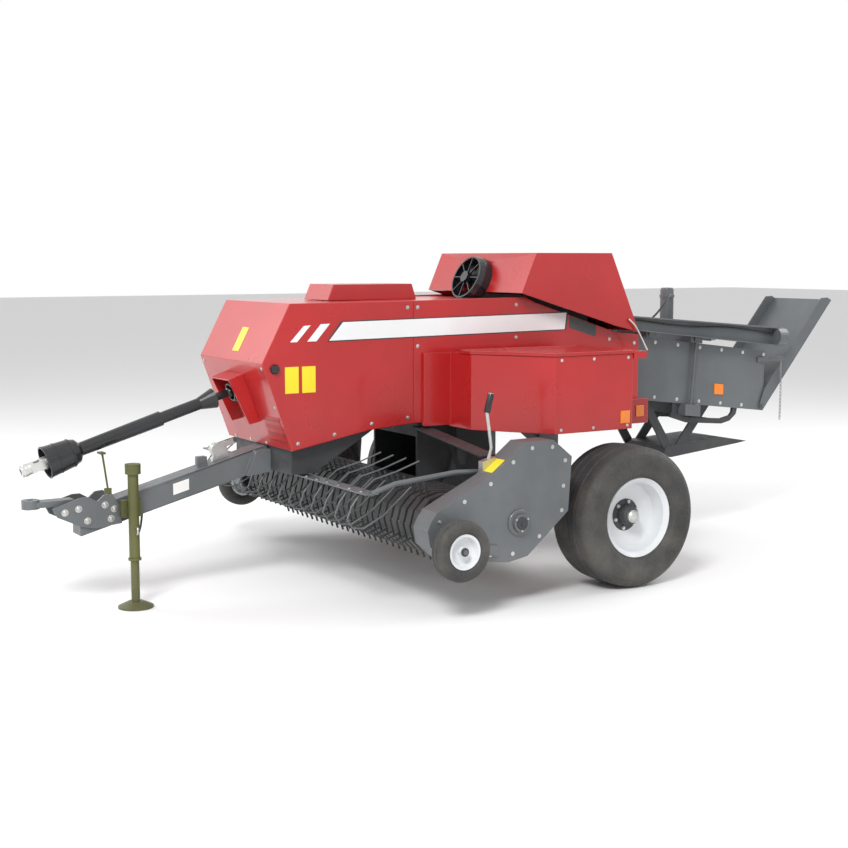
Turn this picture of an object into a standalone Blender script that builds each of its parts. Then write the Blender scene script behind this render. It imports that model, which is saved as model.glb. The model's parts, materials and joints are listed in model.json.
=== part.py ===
"""In-line small square baler, towed, parked on its jack with the pickup raised and the bale chute folded up.

Metres, +Z up, ground at z = 0. The machine points along -Y, and +X is its left side. Every piece is drawn
with y = 0 at the axle, and the empty "baler" then moves the whole machine so that its length is centred.
"""

import math

import bmesh
import bpy
from mathutils import Matrix, Vector

GAP = 0.0003            # between pieces that touch
SIDES = {"left": 1, "right": -1}

# Overall sizes
FRONT_Y = -3.067        # foremost point, on the driveline
REAR_Y = 2.480          # rearmost point, on the folded chute
HITCH_TIP_Y = -3.06     # front of the tongue
CHUTE_TOP_Y = 2.46      # top of the folded chute's floor
TRACK = 2.10            # between the middles of the main tyres

# Main wheels
TYRE_R = 0.3935
TYRE_W = 0.343
BEAD_R = 0.200          # where the tyre sits on the rim
FLANGE_R = 0.216
FLANGE_X = 0.120        # inner face of the rim flange, from the middle
SPINDLE_R = 0.030
HUB_R = 0.055
WHEEL_STEPS = 28

# Gauge wheels
GAUGE_R = 0.157
GAUGE_W = 0.100
GAUGE_BEAD_R = 0.086
GAUGE_X = 1.31
GAUGE_Y = -1.253
GAUGE_Z = 0.367
GAUGE_PIN_R = 0.012
GAUGE_STEPS = 20

# Bale chamber, a sloping rectangular tunnel
CHAMBER_SLOPE = -0.118  # rise for each metre rearward
CHAMBER_Y0 = -1.05
CHAMBER_Y1 = 1.87
CHAMBER_MID_Z = 1.2185  # height of its centre line at y = 0
CHAMBER_HALF_H = 0.200
CHAMBER_HALF_W = 0.250
CHAMBER_WALL = 0.020
FEED_Y0 = -0.86         # feed duct under the chamber
FEED_Y1 = -0.34
FEED_Z = 0.46
FEED_WALL = 0.015

# Red covers
COVER_HALF_W = 0.411
SHEET = 0.012
SEAM_Y = -0.981
NOSE = ((-1.739, 1.578), (-1.903, 1.267), (-1.732, 0.795), (-1.258, 0.881))
DECK_Z = 1.582
SIDE_REAR_Y = 0.636
HOOD_HALF_W = 0.505
HOOD_TOP_Z = 1.845
HOOD_HINGE = (0.590, 1.385)
HOOD_FRONT_Y = -0.314

# Twine boxes
BOX_OUT_X = 1.05
BOX_CORNER_Y = -0.480
BOX_FRONT_X = 0.64
BOX_FRONT_Y = -0.750
BOX_STRIP_Y = -0.925
BOX_REAR_Y = 0.056
BOX_Z0 = 0.872
BOX_Z1 = 1.292
BOX_WALL = 0.012
LID_HINGE_X = 0.53

# Chassis
RAIL_X = 0.330
RAIL_W = 0.050
RAIL_H = 0.080
RAIL_Z = 0.950          # middle of the level stretch of a rail
FRAME_FRONT_Y = -1.712
FRAME_BAR_D = 0.170
FRAME_BAR_Z = (0.660, 0.840)
AXLE_BAR = 0.100

# Drawbar and hitch
DRAWBAR_Y0 = -2.780
DRAWBAR_DEPTH = 0.124
DRAWBAR_W = 0.130
DRAWBAR_RISE = 0.260
DRAWBAR_Z = 0.730       # middle of its section where it meets the frame
PLATE = 0.012
TONGUE_Z = 0.570
JACK_X = 0.143
JACK_Y = -2.520
JACK_R = 0.028
JACK_LEG_R = 0.0225

# Driveline
PTO_JOINT = (-1.905, 1.090)
PTO_TIP = (-3.020, 0.750)
PTO_R = 0.036
CONE_R = 0.085
PTO_BALL_R = 0.030      # universal joint at the rear end

# Pickup
LIFT = (-0.600, 0.660)
REEL = (-1.170, 0.440)
REEL_TIP_R = 0.250
REEL_BAR_R = 0.090
BAND_R = 0.165
BAND_T = 0.012
BAND_W = 0.046
TINE_PITCH = 0.066
TINE_ROWS = 4
TINE_COUNT = 30
TINE_T = 0.007
SHIELD_OUT_X = 1.200
SHIELD_IN_X = 1.060
SHIELD_T = 0.014
GUARD_PIVOT = (-0.945, 0.705)
GUARD_BAR = (-1.600, 0.643)

# Bale chute
CHUTE_PIVOT_UP = 0.030  # pivot above the chamber's bottom edge
CHUTE_HALF_W = 0.262
CHUTE_TOP_Z = 1.545
CHUTE_T = 0.008
FIN_H = 0.075

# The chute's chain hangs from a hook on the chamber; the hose feeds the density cylinder
CHAIN_HOOK = ((-0.008, 1.800), (0.012, 1.800), (0.012, 1.900), (0.042, 1.975), (0.042, 2.012), (0.020, 2.012),
              (0.020, 1.982), (0.001, 1.915), (-0.008, 1.890))
CHAIN_HOOK_Z = 1.128
CHAIN_ROUTE = ((0.281, 1.996, 1.1277), (0.281, 1.996, 1.080), (0.2815, 1.997, 1.000), (0.282, 1.998, 0.900),
               (0.2815, 1.997, 0.800), (0.281, 1.996, 0.728))
HOSE_ROUTE = ((0.0714, 1.1792, 1.5750), (0.098, 1.164, 1.580), (0.128, 1.130, 1.574), (0.152, 1.085, 1.548),
              (0.170, 1.030, 1.505), (0.184, 0.970, 1.460), (0.194, 0.910, 1.425), (0.199, 0.865, 1.400),
              (0.200, 0.845, 1.3875))

PAINTS = {
    "red_paint": ((0.50, 0.026, 0.014), 0.28, 0.0),
    "grey_paint": ((0.135, 0.155, 0.165), 0.42, 0.0),
    "dark_steel": ((0.022, 0.024, 0.026), 0.55, 0.2),
    "rim_silver": ((0.72, 0.74, 0.76), 0.30, 0.3),
    "tyre_rubber": ((0.030, 0.032, 0.034), 0.78, 0.0),
    "zinc_steel": ((0.60, 0.60, 0.58), 0.32, 0.9),
    "olive_paint": ((0.11, 0.12, 0.035), 0.45, 0.0),
    "black_plastic": ((0.012, 0.013, 0.015), 0.38, 0.0),
    "lamp_red": ((0.42, 0.012, 0.010), 0.18, 0.0),
}


def clear_scene():
    for obj in list(bpy.data.objects):
        bpy.data.objects.remove(obj)


def paint(name):
    """The named Principled material, made once."""
    if name in bpy.data.materials:
        return bpy.data.materials[name]
    colour, roughness, metallic = PAINTS[name]
    material = bpy.data.materials.new(name)
    material.use_nodes = True
    shader = material.node_tree.nodes["Principled BSDF"]
    shader.inputs["Base Color"].default_value = (*colour, 1.0)
    shader.inputs["Roughness"].default_value = roughness
    shader.inputs["Metallic"].default_value = metallic
    return material


# Shapes: each function gives a mesh that isn't linked to the scene yet.

def new_mesh(bm):
    bmesh.ops.recalc_face_normals(bm, faces=bm.faces)
    bmesh.ops.triangulate(bm, faces=[face for face in bm.faces if len(face.verts) > 4])
    mesh = bpy.data.meshes.new("shape")
    bm.to_mesh(mesh)
    bm.free()
    return mesh


def rings(loops, closed=False):
    """A skin through loops of points of equal count, with end caps, or closed on itself."""
    bm = bmesh.new()
    rows = [[bm.verts.new(point) for point in loop] for loop in loops]
    count = len(rows[0])
    pairs = list(zip(rows, rows[1:])) + ([(rows[-1], rows[0])] if closed else [])
    for near, far in pairs:
        for i in range(count):
            j = (i + 1) % count
            bm.faces.new((near[i], near[j], far[j], far[i]))
    if not closed:
        bm.faces.new(rows[0][::-1])
        bm.faces.new(rows[-1])
    return new_mesh(bm)


def slab(outline, x0, x1):
    """A (y, z) outline carried from x0 to x1."""
    return rings([[(x, y, z) for y, z in outline] for x in (x0, x1)])


def plan(outline, z0, z1):
    """An (x, y) outline carried from z0 to z1."""
    return rings([[(x, y, z) for x, y in outline] for z in (z0, z1)])


def cross(outline, y0, y1):
    """An (x, z) outline carried from y0 to y1."""
    return rings([[(x, y, z) for x, z in outline] for y in (y0, y1)])


def block(x0, x1, y0, y1, z0, z1):
    return plan([(x0, y0), (x1, y0), (x1, y1), (x0, y1)], z0, z1)


def turned(profile, centre, direction, steps=32, sense=1):
    """A closed (along, radius) profile turned about the line through centre; ends at radius 0 become poles.

    A sense of -1 faces the profile the other way along the line."""
    axis = Vector(direction).normalized()
    side = axis.orthogonal().normalized()
    other = axis.cross(side)
    bm = bmesh.new()
    rows = []
    for along, radius in profile:
        middle = Vector(centre) + axis * along * sense
        if radius < 1e-6:
            rows.append([bm.verts.new(middle)])
            continue
        angles = [math.tau * k / steps for k in range(steps)]
        rows.append([bm.verts.new(middle + (side * math.cos(a) + other * math.sin(a)) * radius)
                     for a in angles])
    pairs = list(zip(rows, rows[1:]))
    if len(rows[0]) > 1 and len(rows[-1]) > 1:
        pairs.append((rows[-1], rows[0]))
    for near, far in pairs:
        for k in range(steps):
            n = (k + 1) % steps
            corners = [near[k % len(near)], near[n % len(near)], far[n % len(far)], far[k % len(far)]]
            corners = [v for i, v in enumerate(corners) if v not in corners[:i]]
            if len(corners) > 2:
                bm.faces.new(corners)
    return new_mesh(bm)


def rod(start, end, radius, steps=12, end_radius=None):
    length = (Vector(end) - Vector(start)).length
    last = radius if end_radius is None else end_radius
    return turned([(0, 0), (0, radius), (length, last), (length, 0)],
                  start, Vector(end) - Vector(start), steps)


def running(radius, steps):
    """The bore of that many sides that a round pin of this radius turns in."""
    return (radius + GAP) / math.cos(math.pi / steps)


def pipe(start, end, radius, bore, steps=20):
    length = (Vector(end) - Vector(start)).length
    profile = [(0, bore), (0, radius), (length, radius), (length, bore)]
    return turned(profile, start, Vector(end) - Vector(start), steps)


def beam(start, end, width, depth, side=(1, 0, 0)):
    """A straight bar of rectangular section; width runs along side."""
    run = Vector(end) - Vector(start)
    wide = Vector(side).normalized() * width / 2
    deep = run.cross(wide).normalized() * depth / 2
    corners = (wide + deep, deep - wide, -wide - deep, wide - deep)
    return rings([[Vector(end_point) + c for c in corners] for end_point in (start, end)])


def swept(points, radius, sides=6):
    """A round bar bent along points."""
    points = [Vector(p) for p in points]
    loops = []
    normal = (points[1] - points[0]).orthogonal().normalized()
    for i, point in enumerate(points):
        ahead = (points[min(i + 1, len(points) - 1)] - points[max(i - 1, 0)]).normalized()
        normal = (normal - ahead * normal.dot(ahead)).normalized()
        other = ahead.cross(normal)
        loops.append([point + (normal * math.cos(a) + other * math.sin(a)) * radius
                      for a in (math.tau * k / sides for k in range(sides))])
    return rings(loops)


def arc(centre, radius, start, end, steps):
    """Points (y, z) on an arc, angles in degrees from +Y towards +Z."""
    for k in range(steps + 1):
        a = math.radians(start + (end - start) * k / steps)
        yield (centre[0] + radius * math.cos(a), centre[1] + radius * math.sin(a))


# Building nodes

def helper(mesh, collection):
    obj = bpy.data.objects.new("helper", mesh)
    obj.hide_render = True
    obj.display_type = "WIRE"
    collection.objects.link(obj)
    return obj


def combine(shapes, cuts):
    """One mesh: the union of shapes, less the cuts."""
    if len(shapes) == 1 and not cuts:
        return shapes[0]
    scratch = bpy.data.collections.new("scratch")
    bpy.context.scene.collection.children.link(scratch)
    body = helper(shapes[0], scratch)
    for operation, meshes in (("UNION", shapes[1:]), ("DIFFERENCE", cuts)):
        for mesh in meshes:
            modifier = body.modifiers.new(operation, "BOOLEAN")
            modifier.operation = operation
            modifier.object = helper(mesh, scratch)
    graph = bpy.context.evaluated_depsgraph_get()
    result = bpy.data.meshes.new_from_object(body.evaluated_get(graph))
    for obj in list(scratch.objects):
        bpy.data.objects.remove(obj)
    bpy.data.collections.remove(scratch)
    return result


def node(name, colour, shapes, cuts=(), at=(0, 0, 0), crease=35):
    """A finished piece, with its origin at the given point."""
    mesh = combine(shapes, list(cuts))
    mesh.transform(Matrix.Translation(-Vector(at)))
    mesh.name = name
    mesh.materials.clear()
    mesh.materials.append(paint(colour))
    mesh.shade_smooth()
    mesh.set_sharp_from_angle(angle=math.radians(crease))
    obj = bpy.data.objects.new(name, mesh)
    obj.location = at
    obj.parent = bpy.data.objects["baler"]
    bpy.context.scene.collection.objects.link(obj)
    return obj


def sides(build):
    """Builds a piece on the left and its mirror image on the right."""
    for side, sign in SIDES.items():
        build(side, sign)


def span(sign, near, far):
    """An x range given for the left side, put in order for either side."""
    return tuple(sorted((sign * near, sign * far)))


def chamber_z(y, offset=0.0):
    return CHAMBER_MID_Z + CHAMBER_SLOPE * y + offset


def chamber_strip(y0, y1, low, high):
    """A (y, z) outline that slopes with the chamber, between two offsets from its centre line."""
    return [(y, chamber_z(y, offset)) for y, offset in ((y0, low), (y1, low), (y1, high), (y0, high))]


def along_driveline(distance, radius=0.0):
    """A point on the driveline's axis, at a distance forward of its rear joint."""
    run = Vector((0, PTO_TIP[0] - PTO_JOINT[0], PTO_TIP[1] - PTO_JOINT[1])).normalized()
    return Vector((0, *PTO_JOINT)) + run * distance


# Running gear

TYRE_HALF = [(0.120, BEAD_R), (0.120, FLANGE_R + 0.006), (0.150, 0.238), (0.1715, 0.285),
             (0.168, 0.335), (0.147, 0.372), (0.105, 0.389)]


def main_wheel(side, sign):
    middle = (sign * TRACK / 2, 0, TYRE_R)
    wide = TYRE_W / 2 / 0.1715
    half = [(x * wide, r * (TYRE_R / 0.3935) if r > 0.3 else r) for x, r in TYRE_HALF]
    profile = half + [(-x, r) for x, r in reversed(half)]
    node(f"main_tyre_{side}", "tyre_rubber", [turned(profile, middle, (1, 0, 0), WHEEL_STEPS)], at=middle)
    edge = FLANGE_X * wide + GAP
    seat = BEAD_R - GAP
    bore = running(SPINDLE_R, WHEEL_STEPS)
    rim = [(-edge - 0.014, FLANGE_R), (-edge, FLANGE_R), (-edge, seat), (edge, seat), (edge, FLANGE_R),
           (edge + 0.014, FLANGE_R), (edge + 0.014, FLANGE_R - 0.008), (edge, seat - 0.014),
           (0.050, seat - 0.014), (0.036, seat - 0.045), (0.036, HUB_R), (0.100, HUB_R), (0.112, 0.0),
           (0.080, 0.0), (0.080, bore), (-0.060, bore), (-0.060, HUB_R), (0.024, HUB_R), (0.024, seat - 0.040), (0.036, seat - 0.014), (-edge, seat - 0.014),
           (-edge - 0.014, FLANGE_R - 0.008)]
    node(f"main_rim_{side}", "rim_silver", [turned(rim, middle, (1, 0, 0), WHEEL_STEPS, sign)], at=middle)


def axle():
    half = TRACK / 2 - TYRE_W / 2 - 0.050
    bar = block(-half, half, -AXLE_BAR / 2, AXLE_BAR / 2, TYRE_R - AXLE_BAR / 2, TYRE_R + AXLE_BAR / 2)
    spindle = rod((-TRACK / 2 - 0.070, 0, TYRE_R), (TRACK / 2 + 0.070, 0, TYRE_R), SPINDLE_R, 20)
    stands = [block(*span(s, RAIL_X - RAIL_W / 2, RAIL_X + RAIL_W / 2), -0.070, 0.070, TYRE_R,
                    RAIL_Z - RAIL_H / 2 - GAP) for s in SIDES.values()]
    braces = [slab([(-0.070, TYRE_R + 0.30), (-0.070, TYRE_R + 0.38), (-0.26, RAIL_Z - RAIL_H / 2 - GAP),
                    (-0.34, RAIL_Z - RAIL_H / 2 - GAP)], *span(s, RAIL_X - 0.006, RAIL_X + 0.006))
              for s in SIDES.values()]
    node("axle_beam", "grey_paint", [bar, spindle, *stands, *braces])


def chassis():
    low, high = FRAME_BAR_Z
    reach = RAIL_X + RAIL_W / 2
    front = block(-reach, reach, FRAME_FRONT_Y, FRAME_FRONT_Y + FRAME_BAR_D, low, high)
    pieces = [front]
    top, base = RAIL_Z + RAIL_H / 2, RAIL_Z - RAIL_H / 2
    for sign in SIDES.values():
        x0, x1 = span(sign, RAIL_X - RAIL_W / 2, RAIL_X + RAIL_W / 2)
        pieces.append(slab([(FRAME_FRONT_Y + 0.02, low + 0.02), (FRAME_FRONT_Y + FRAME_BAR_D, low + 0.02),
                            (-1.15, base), (0.46, base), (0.46, top), (-1.20, top),
                            (FRAME_FRONT_Y + 0.02, high + 0.03)], x0, x1))
        for y in (-1.62, -1.05, 0.30):
            pieces.append(block(*span(sign, RAIL_X, COVER_HALF_W - SHEET - GAP), y, y + 0.05,
                                base + 0.01 if y > -1.5 else 0.845, top - 0.01 if y > -1.5 else 0.865))
        pieces.append(slab([(LIFT[0] - 0.045, base + 0.02), (LIFT[0] - 0.025, LIFT[1] - 0.03),
                            (LIFT[0] + 0.025, LIFT[1] - 0.03), (LIFT[0] + 0.045, base + 0.02)],
                           *span(sign, 0.308, 0.322)))
        pieces.append(rod((sign * 0.264, *LIFT), (sign * 0.315, *LIFT), 0.012, 16))
    for y in (0.04, 0.38):
        pieces.append(slab(chamber_strip(y, y + 0.06, -CHAMBER_HALF_H - 0.055, -CHAMBER_HALF_H - GAP),
                           -RAIL_X, RAIL_X))
    pieces.append(slab([(-1.06, base + 0.01), (-1.00, base + 0.01), (-1.00, top - 0.01), (-1.06, top - 0.01)],
                       -RAIL_X, RAIL_X))
    pieces.append(slab([(-1.04, top - 0.03), (-1.00, top - 0.03),
                        (-1.00, chamber_z(-1.00, -CHAMBER_HALF_H) - GAP),
                        (-1.04, chamber_z(-1.04, -CHAMBER_HALF_H) - GAP)], -0.20, 0.20))
    node("chassis", "dark_steel", pieces)


def drawbar_z(y):
    return DRAWBAR_Z + DRAWBAR_RISE * (y - FRAME_FRONT_Y)


def drawbar():
    half = DRAWBAR_DEPTH / 2 * math.hypot(1, DRAWBAR_RISE)
    y0, y1 = DRAWBAR_Y0, FRAME_FRONT_Y - GAP
    outline = [(y0, drawbar_z(y0) - half), (y1, drawbar_z(y1) - half),
               (y1, drawbar_z(y1) + half), (y0, drawbar_z(y0) + half)]
    w = DRAWBAR_W / 2
    cap = block(-0.018, 0.018, -2.110, -2.052, drawbar_z(-2.08) + half - 0.03, drawbar_z(-2.08) + half + 0.05)
    side = block(w - 0.01, w + 0.022, JACK_Y - 0.035, JACK_Y + 0.06, drawbar_z(JACK_Y) - 0.035,
                 drawbar_z(JACK_Y) + 0.035)
    root = slab([(-1.86, drawbar_z(-1.86) - half + 0.005), (y1, drawbar_z(y1) - half - 0.02),
                 (y1, 0.776), (-1.80, 0.765)], -0.105, 0.105)
    node("drawbar", "grey_paint", [slab(outline, -w, w), cap, side, root])


def hitch():
    w = DRAWBAR_W / 2 + GAP
    outline = [(-2.925, 0.548), (-2.776, 0.592), (-2.734, 0.592), (-2.690, 0.566), (-2.655, 0.596),
               (-2.610, 0.600), (-2.560, 0.520), (-2.560, 0.440), (-2.700, 0.425), (-2.776, 0.440),
               (-2.900, 0.500)]
    plates = [slab(outline, *span(s, w, w + PLATE)) for s in SIDES.values()]
    spacer = block(-w - 0.002, w + 0.002, -2.880, DRAWBAR_Y0 - GAP, 0.500, TONGUE_Z - 0.018 - GAP)
    node("hitch_plates", "grey_paint", [*plates, spacer])
    y = HITCH_TIP_Y + 0.045
    bar = block(-0.040, 0.040, y, -2.800, TONGUE_Z - 0.018, TONGUE_Z + 0.012)
    eye = rod((0, y, TONGUE_Z - 0.024), (0, y, TONGUE_Z + 0.022), 0.045, 28)
    hole = rod((0, y, TONGUE_Z - 0.1), (0, y, TONGUE_Z + 0.1), 0.016, 20)
    node("hitch_tongue", "grey_paint", [bar, eye], [hole])


def jack():
    x, y = JACK_X, JACK_Y
    bore = running(JACK_LEG_R, 20)
    profile = [(0.250, bore), (0.250, JACK_R), (0.706, JACK_R), (0.706, 0.041), (0.758, 0.041), (0.758, 0),
               (0.730, 0), (0.730, bore)]
    tube = turned(profile, (x, y, 0), (0, 0, 1), 20)
    plate = block(DRAWBAR_W / 2 + 0.022 + GAP, x - (JACK_R + bore) / 2, y - 0.055, y + 0.055,
                  drawbar_z(y) - 0.045, drawbar_z(y) + 0.045)
    node("jack_sleeve", "olive_paint", [tube, plate])
    leg = rod((x, y, 0.010), (x, y, 0.470), JACK_LEG_R, 20)
    foot = turned([(0, 0), (0, 0.092), (0.010, 0.092), (0.034, 0.040), (0.034, 0)], (x, y, 0), (0, 0, 1), 24)
    node("jack_leg", "olive_paint", [foot, leg], at=(x, y, 0.47))


# Driveline

def driveline():
    joint = (0, *PTO_JOINT)
    start = along_driveline(0.115)
    rear = rod(start, along_driveline(0.640), PTO_R - 0.004, 24)
    bell = rod(along_driveline(0.100), along_driveline(0.190), 0.056, 20, PTO_R - 0.003)
    neck = rod(along_driveline(0.010), along_driveline(0.130), 0.022, 16)
    ball = turned([(-PTO_BALL_R, 0), *((-PTO_BALL_R * math.cos(a), PTO_BALL_R * math.sin(a))
                                       for a in (math.pi * k / 8 for k in range(1, 8))), (PTO_BALL_R, 0)],
                  joint, (1, 0, 0), 20)
    node("driveline_rear_tube", "black_plastic", [rear, bell, neck, ball], at=joint)
    bore = running(PTO_R - 0.004, 24)
    cone = [(0.880, PTO_R), (0.900, 0.062), (0.935, 0.074), (1.075, CONE_R), (1.075, CONE_R - 0.006),
            (0.950, 0.066), (0.912, 0.050), (0.905, 0.030), (0.905, 0.0), (0.780, 0.0), (0.775, bore),
            (0.420, bore), (0.420, PTO_R + 0.004), (0.430, PTO_R + 0.004)]
    run = along_driveline(1) - along_driveline(0)
    node("driveline_front_tube", "black_plastic", [turned(cone, joint, run, 24)], at=along_driveline(0.9))
    shaft = rod(along_driveline(0.905 + GAP), along_driveline(1.080), 0.022, 16)
    fork = rod(along_driveline(1.050), along_driveline(1.105), 0.034, 20)
    collar = rod(along_driveline(1.135), along_driveline(1.205), 0.031, 20)
    ears = [beam(along_driveline(1.08) + Vector((x, 0, 0)), along_driveline(1.157) + Vector((x, 0, 0)), 0.014, 0.044)
            for x in (0.030, -0.030)]
    socket = rod(along_driveline(1.145), along_driveline(1.300), 0.018, 16)
    node("driveline_yoke", "zinc_steel", [shaft, fork, collar, *ears], [socket], at=along_driveline(1.0))
    boot = [(0, 0.064), (-0.012, 0.064), (-0.022, 0.057), (-0.032, 0.062), (-0.042, 0.055), (-0.052, 0.058),
            (-0.062, 0.050), (-0.062, 0.044), (0, 0.050)]
    normal = Vector((0, NOSE[1][1] - NOSE[2][1], NOSE[2][0] - NOSE[1][0])).normalized()
    rear_end = Vector(driveline_port()) - normal * GAP
    node("driveline_boot", "black_plastic", [turned(boot, rear_end, normal, 24)])
    base = (DRAWBAR_W / 2 + PLATE / 2, -2.630, 0.600 + GAP)
    prop_top = along_driveline(0)[2] + (-2.635 - PTO_JOINT[0]) * 0.305 - PTO_R - 0.016
    lug = block(base[0] - 0.006, base[0] + 0.006, -2.650, -2.612, base[2], base[2] + 0.030)
    stay = swept([(base[0], -2.630, base[2] + 0.02), (base[0] * 0.6, -2.634, base[2] + 0.12),
                  (0.012, -2.636, prop_top - 0.01)], 0.006)
    saddle = block(-0.030, 0.030, -2.650, -2.622, prop_top - 0.014, prop_top - 0.004)
    node("driveline_stay", "olive_paint", [lug, stay, saddle])


def nose_y(z):
    """The y of the lower front face of the nose at a height."""
    (y0, z0), (y1, z1) = NOSE[1], NOSE[2]
    return y0 + (y1 - y0) * (z - z0) / (z1 - z0)


def driveline_port():
    """Where the driveline's axis passes through the lower front face."""
    slope = (PTO_TIP[1] - PTO_JOINT[1]) / (PTO_TIP[0] - PTO_JOINT[0])
    y = PTO_JOINT[0]
    for _ in range(20):
        y = nose_y(PTO_JOINT[1] + slope * (y - PTO_JOINT[0]))
    return (0, y, PTO_JOINT[1] + slope * (y - PTO_JOINT[0]))


def driveline_guard():
    w = 0.118
    back = [(nose_y(z) - GAP * 1.2, z) for z in (1.196, 0.930)]
    outer = [(-1.965, 1.166), back[0], back[1], (-1.845, 0.918)]
    inner = [(-2.10, 1.135), (nose_y(1.18) + 0.05, 1.184), (nose_y(0.80) + 0.05, 0.80), (-2.10, 0.80)]
    node("driveline_guard", "red_paint", [slab(outer, -w, w)], [slab(inner, -w + 0.008, w - 0.008)])


# Covers

def front_shield():
    rear = SEAM_Y - 0.002
    outer = [*NOSE, (rear, 0.901), (rear, DECK_Z)]
    inner = [(NOSE[0][0] + 0.008, DECK_Z - SHEET), (NOSE[1][0] + SHEET * 1.1, NOSE[1][1]),
             (NOSE[2][0] + SHEET * 1.1 + 0.0362, NOSE[2][1] - 0.10), (rear + 0.1, NOSE[2][1] - 0.10),
             (rear + 0.1, DECK_Z - SHEET)]
    w = COVER_HALF_W
    port = rod(along_driveline(0.10), along_driveline(-0.25), 0.048, 24)
    node("front_shield", "red_paint", [slab(outer, -w, w)], [slab(inner, -w + SHEET, w - SHEET), port])


def side_shield(side, sign):
    outline = [(SEAM_Y, 0.901), (SIDE_REAR_Y, 0.945), (SIDE_REAR_Y, 1.350), (0.440, 1.375), (-0.150, 1.560),
               (-0.222, 1.592), (SEAM_Y, DECK_Z)]
    node(f"side_shield_{side}", "red_paint", [slab(outline, *span(sign, COVER_HALF_W - SHEET, COVER_HALF_W))])


def top_covers():
    w = COVER_HALF_W - SHEET - GAP
    recess = rod(fan_point(-0.05), fan_point(0.30), 0.157, 32)
    deck = block(-w, w, SEAM_Y + 0.001, HOOD_FRONT_Y - 0.012, DECK_Z - SHEET, DECK_Z)
    node("top_deck", "red_paint", [deck], [recess])
    base = DECK_Z + GAP
    node("top_box", "red_paint", [slab([(-1.375, base), (-0.800, base), (-0.830, 1.670), (-1.337, 1.670)],
                                       -0.146, 0.146)])


def hood():
    low = [(HOOD_FRONT_Y, 1.617), (0.372, 1.416), (0.556, 1.374)]
    outer = [*low, (0.339, HOOD_TOP_Z), (-0.213, HOOD_TOP_Z)]
    inner = [(HOOD_FRONT_Y + SHEET * 1.1 - 0.0443, 1.517), (0.372, 1.30), (0.590 - SHEET * 1.1, 1.30),
             (0.339 - SHEET * 0.6, HOOD_TOP_Z - SHEET), (-0.213 + SHEET * 0.8, HOOD_TOP_Z - SHEET)]
    w = HOOD_HALF_W
    y, z = HOOD_HINGE
    pin = rod((-0.262, y, z), (0.262, y, z), 0.009, 12)
    tabs = [block(x - 0.03, x + 0.03, y - 0.050, y + 0.002, z - 0.006, z + 0.006) for x in (-0.16, 0.0, 0.16)]
    port = rod(fan_point(-0.06), fan_point(0.12), 0.120, 28)
    room = slab(inner, -w + SHEET, w - SHEET)
    node("knotter_hood", "red_paint", [slab(outer, -w, w), pin, *tabs], [room, port], at=(0, y, z))


FAN_FACE = Vector((0, -0.2905, 1.6700))
FAN_AXIS = Vector((0, -0.914, 0.405)).normalized()
FAN_RISE = Vector((0, 0.405, 0.914)).normalized()


def fan_point(distance, radius=0.0, angle=0.0):
    """A point in front of the hood's sloping face, at a radius and angle about the fan's axis."""
    return FAN_FACE + FAN_AXIS * distance + fan_ray(angle) * radius


def fan_ray(angle):
    return Vector((math.cos(angle), 0, 0)) + FAN_RISE * math.sin(angle)


def knotter_fan():
    r = 0.150
    drum = turned([(GAP, 0.126), (GAP, r), (0.050, r - 0.004), (0.082, r - 0.016), (0.082, r - 0.026),
                   (0.050, r - 0.016), (0.010, 0.126)], FAN_FACE, FAN_AXIS, 28)
    hub = rod(fan_point(0.058), fan_point(0.096), 0.034, 20)
    ribs = []
    for k in range(8):
        a = math.tau * k / 8
        ribs.append(beam(fan_point(0.078), fan_point(0.078, 0.128, a), 0.006, 0.010, fan_ray(a + math.pi / 2)))
    bore = rod(fan_point(0.040), fan_point(0.070), 0.011, 12)
    node("knotter_fan_guard", "black_plastic", [drum, hub, *ribs], [bore], at=fan_point(0.05))
    shaft = rod(fan_point(0.010), fan_point(0.0685), 0.0100, 12)
    boss = rod(fan_point(0.010), fan_point(0.050), 0.030, 20)
    blades = []
    for k in range(6):
        a = math.tau * k / 6
        blades.append(beam(fan_point(0.030, 0.020, a), fan_point(0.030, 0.108, a), 0.034, 0.005,
                           fan_ray(a + math.pi / 2) + FAN_AXIS * 0.5))
    node("knotter_fan_rotor", "black_plastic", [boss, shaft, *blades], at=fan_point(0.03))


# Bale chamber and what it carries

def bale_chamber():
    h, w, t = CHAMBER_HALF_H, CHAMBER_HALF_W, CHAMBER_WALL
    shell = slab(chamber_strip(CHAMBER_Y0, CHAMBER_Y1, -h, h), -w, w)
    tunnel = slab(chamber_strip(CHAMBER_Y0 - 0.1, CHAMBER_Y1 + 0.1, t - h, h - t), t - w, w - t)
    mouth = block(-w + t + 0.006, w - t - 0.006, FEED_Y0 + 0.03, FEED_Y1 - 0.03,
                  chamber_z(FEED_Y1, -h) - 0.05, chamber_z(FEED_Y0, t - h) + 0.04)
    y, z = HOOD_HINGE
    lugs = [slab([(y - 0.020, chamber_z(y, h - 0.01)), (y + 0.020, chamber_z(y, h - 0.01)),
                  (y + 0.020, z + 0.018), (y - 0.020, z + 0.018)], x - 0.005, x + 0.005) for x in (-0.235, 0.235)]
    holes = rod((-0.29, y, z), (0.29, y, z), running(0.009, 12), 12)
    pivot = chute_pivot()
    pins = [rod((s * (w - 0.01), *pivot), (s * (CHUTE_HALF_W + CHUTE_T + 0.008), *pivot), 0.010)
            for s in SIDES.values()]
    hook = [plan([(s * (w + x), y) for x, y in CHAIN_HOOK], CHAIN_HOOK_Z, CHAIN_HOOK_Z + 0.030)
            for s in SIDES.values()]
    node("bale_chamber", "grey_paint", [shell, *lugs, *pins, *hook], [tunnel, mouth, holes])


def chute_pivot():
    return (CHAMBER_Y1 - 0.025, chamber_z(CHAMBER_Y1 - 0.025, -CHAMBER_HALF_H) + CHUTE_PIVOT_UP)


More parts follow.
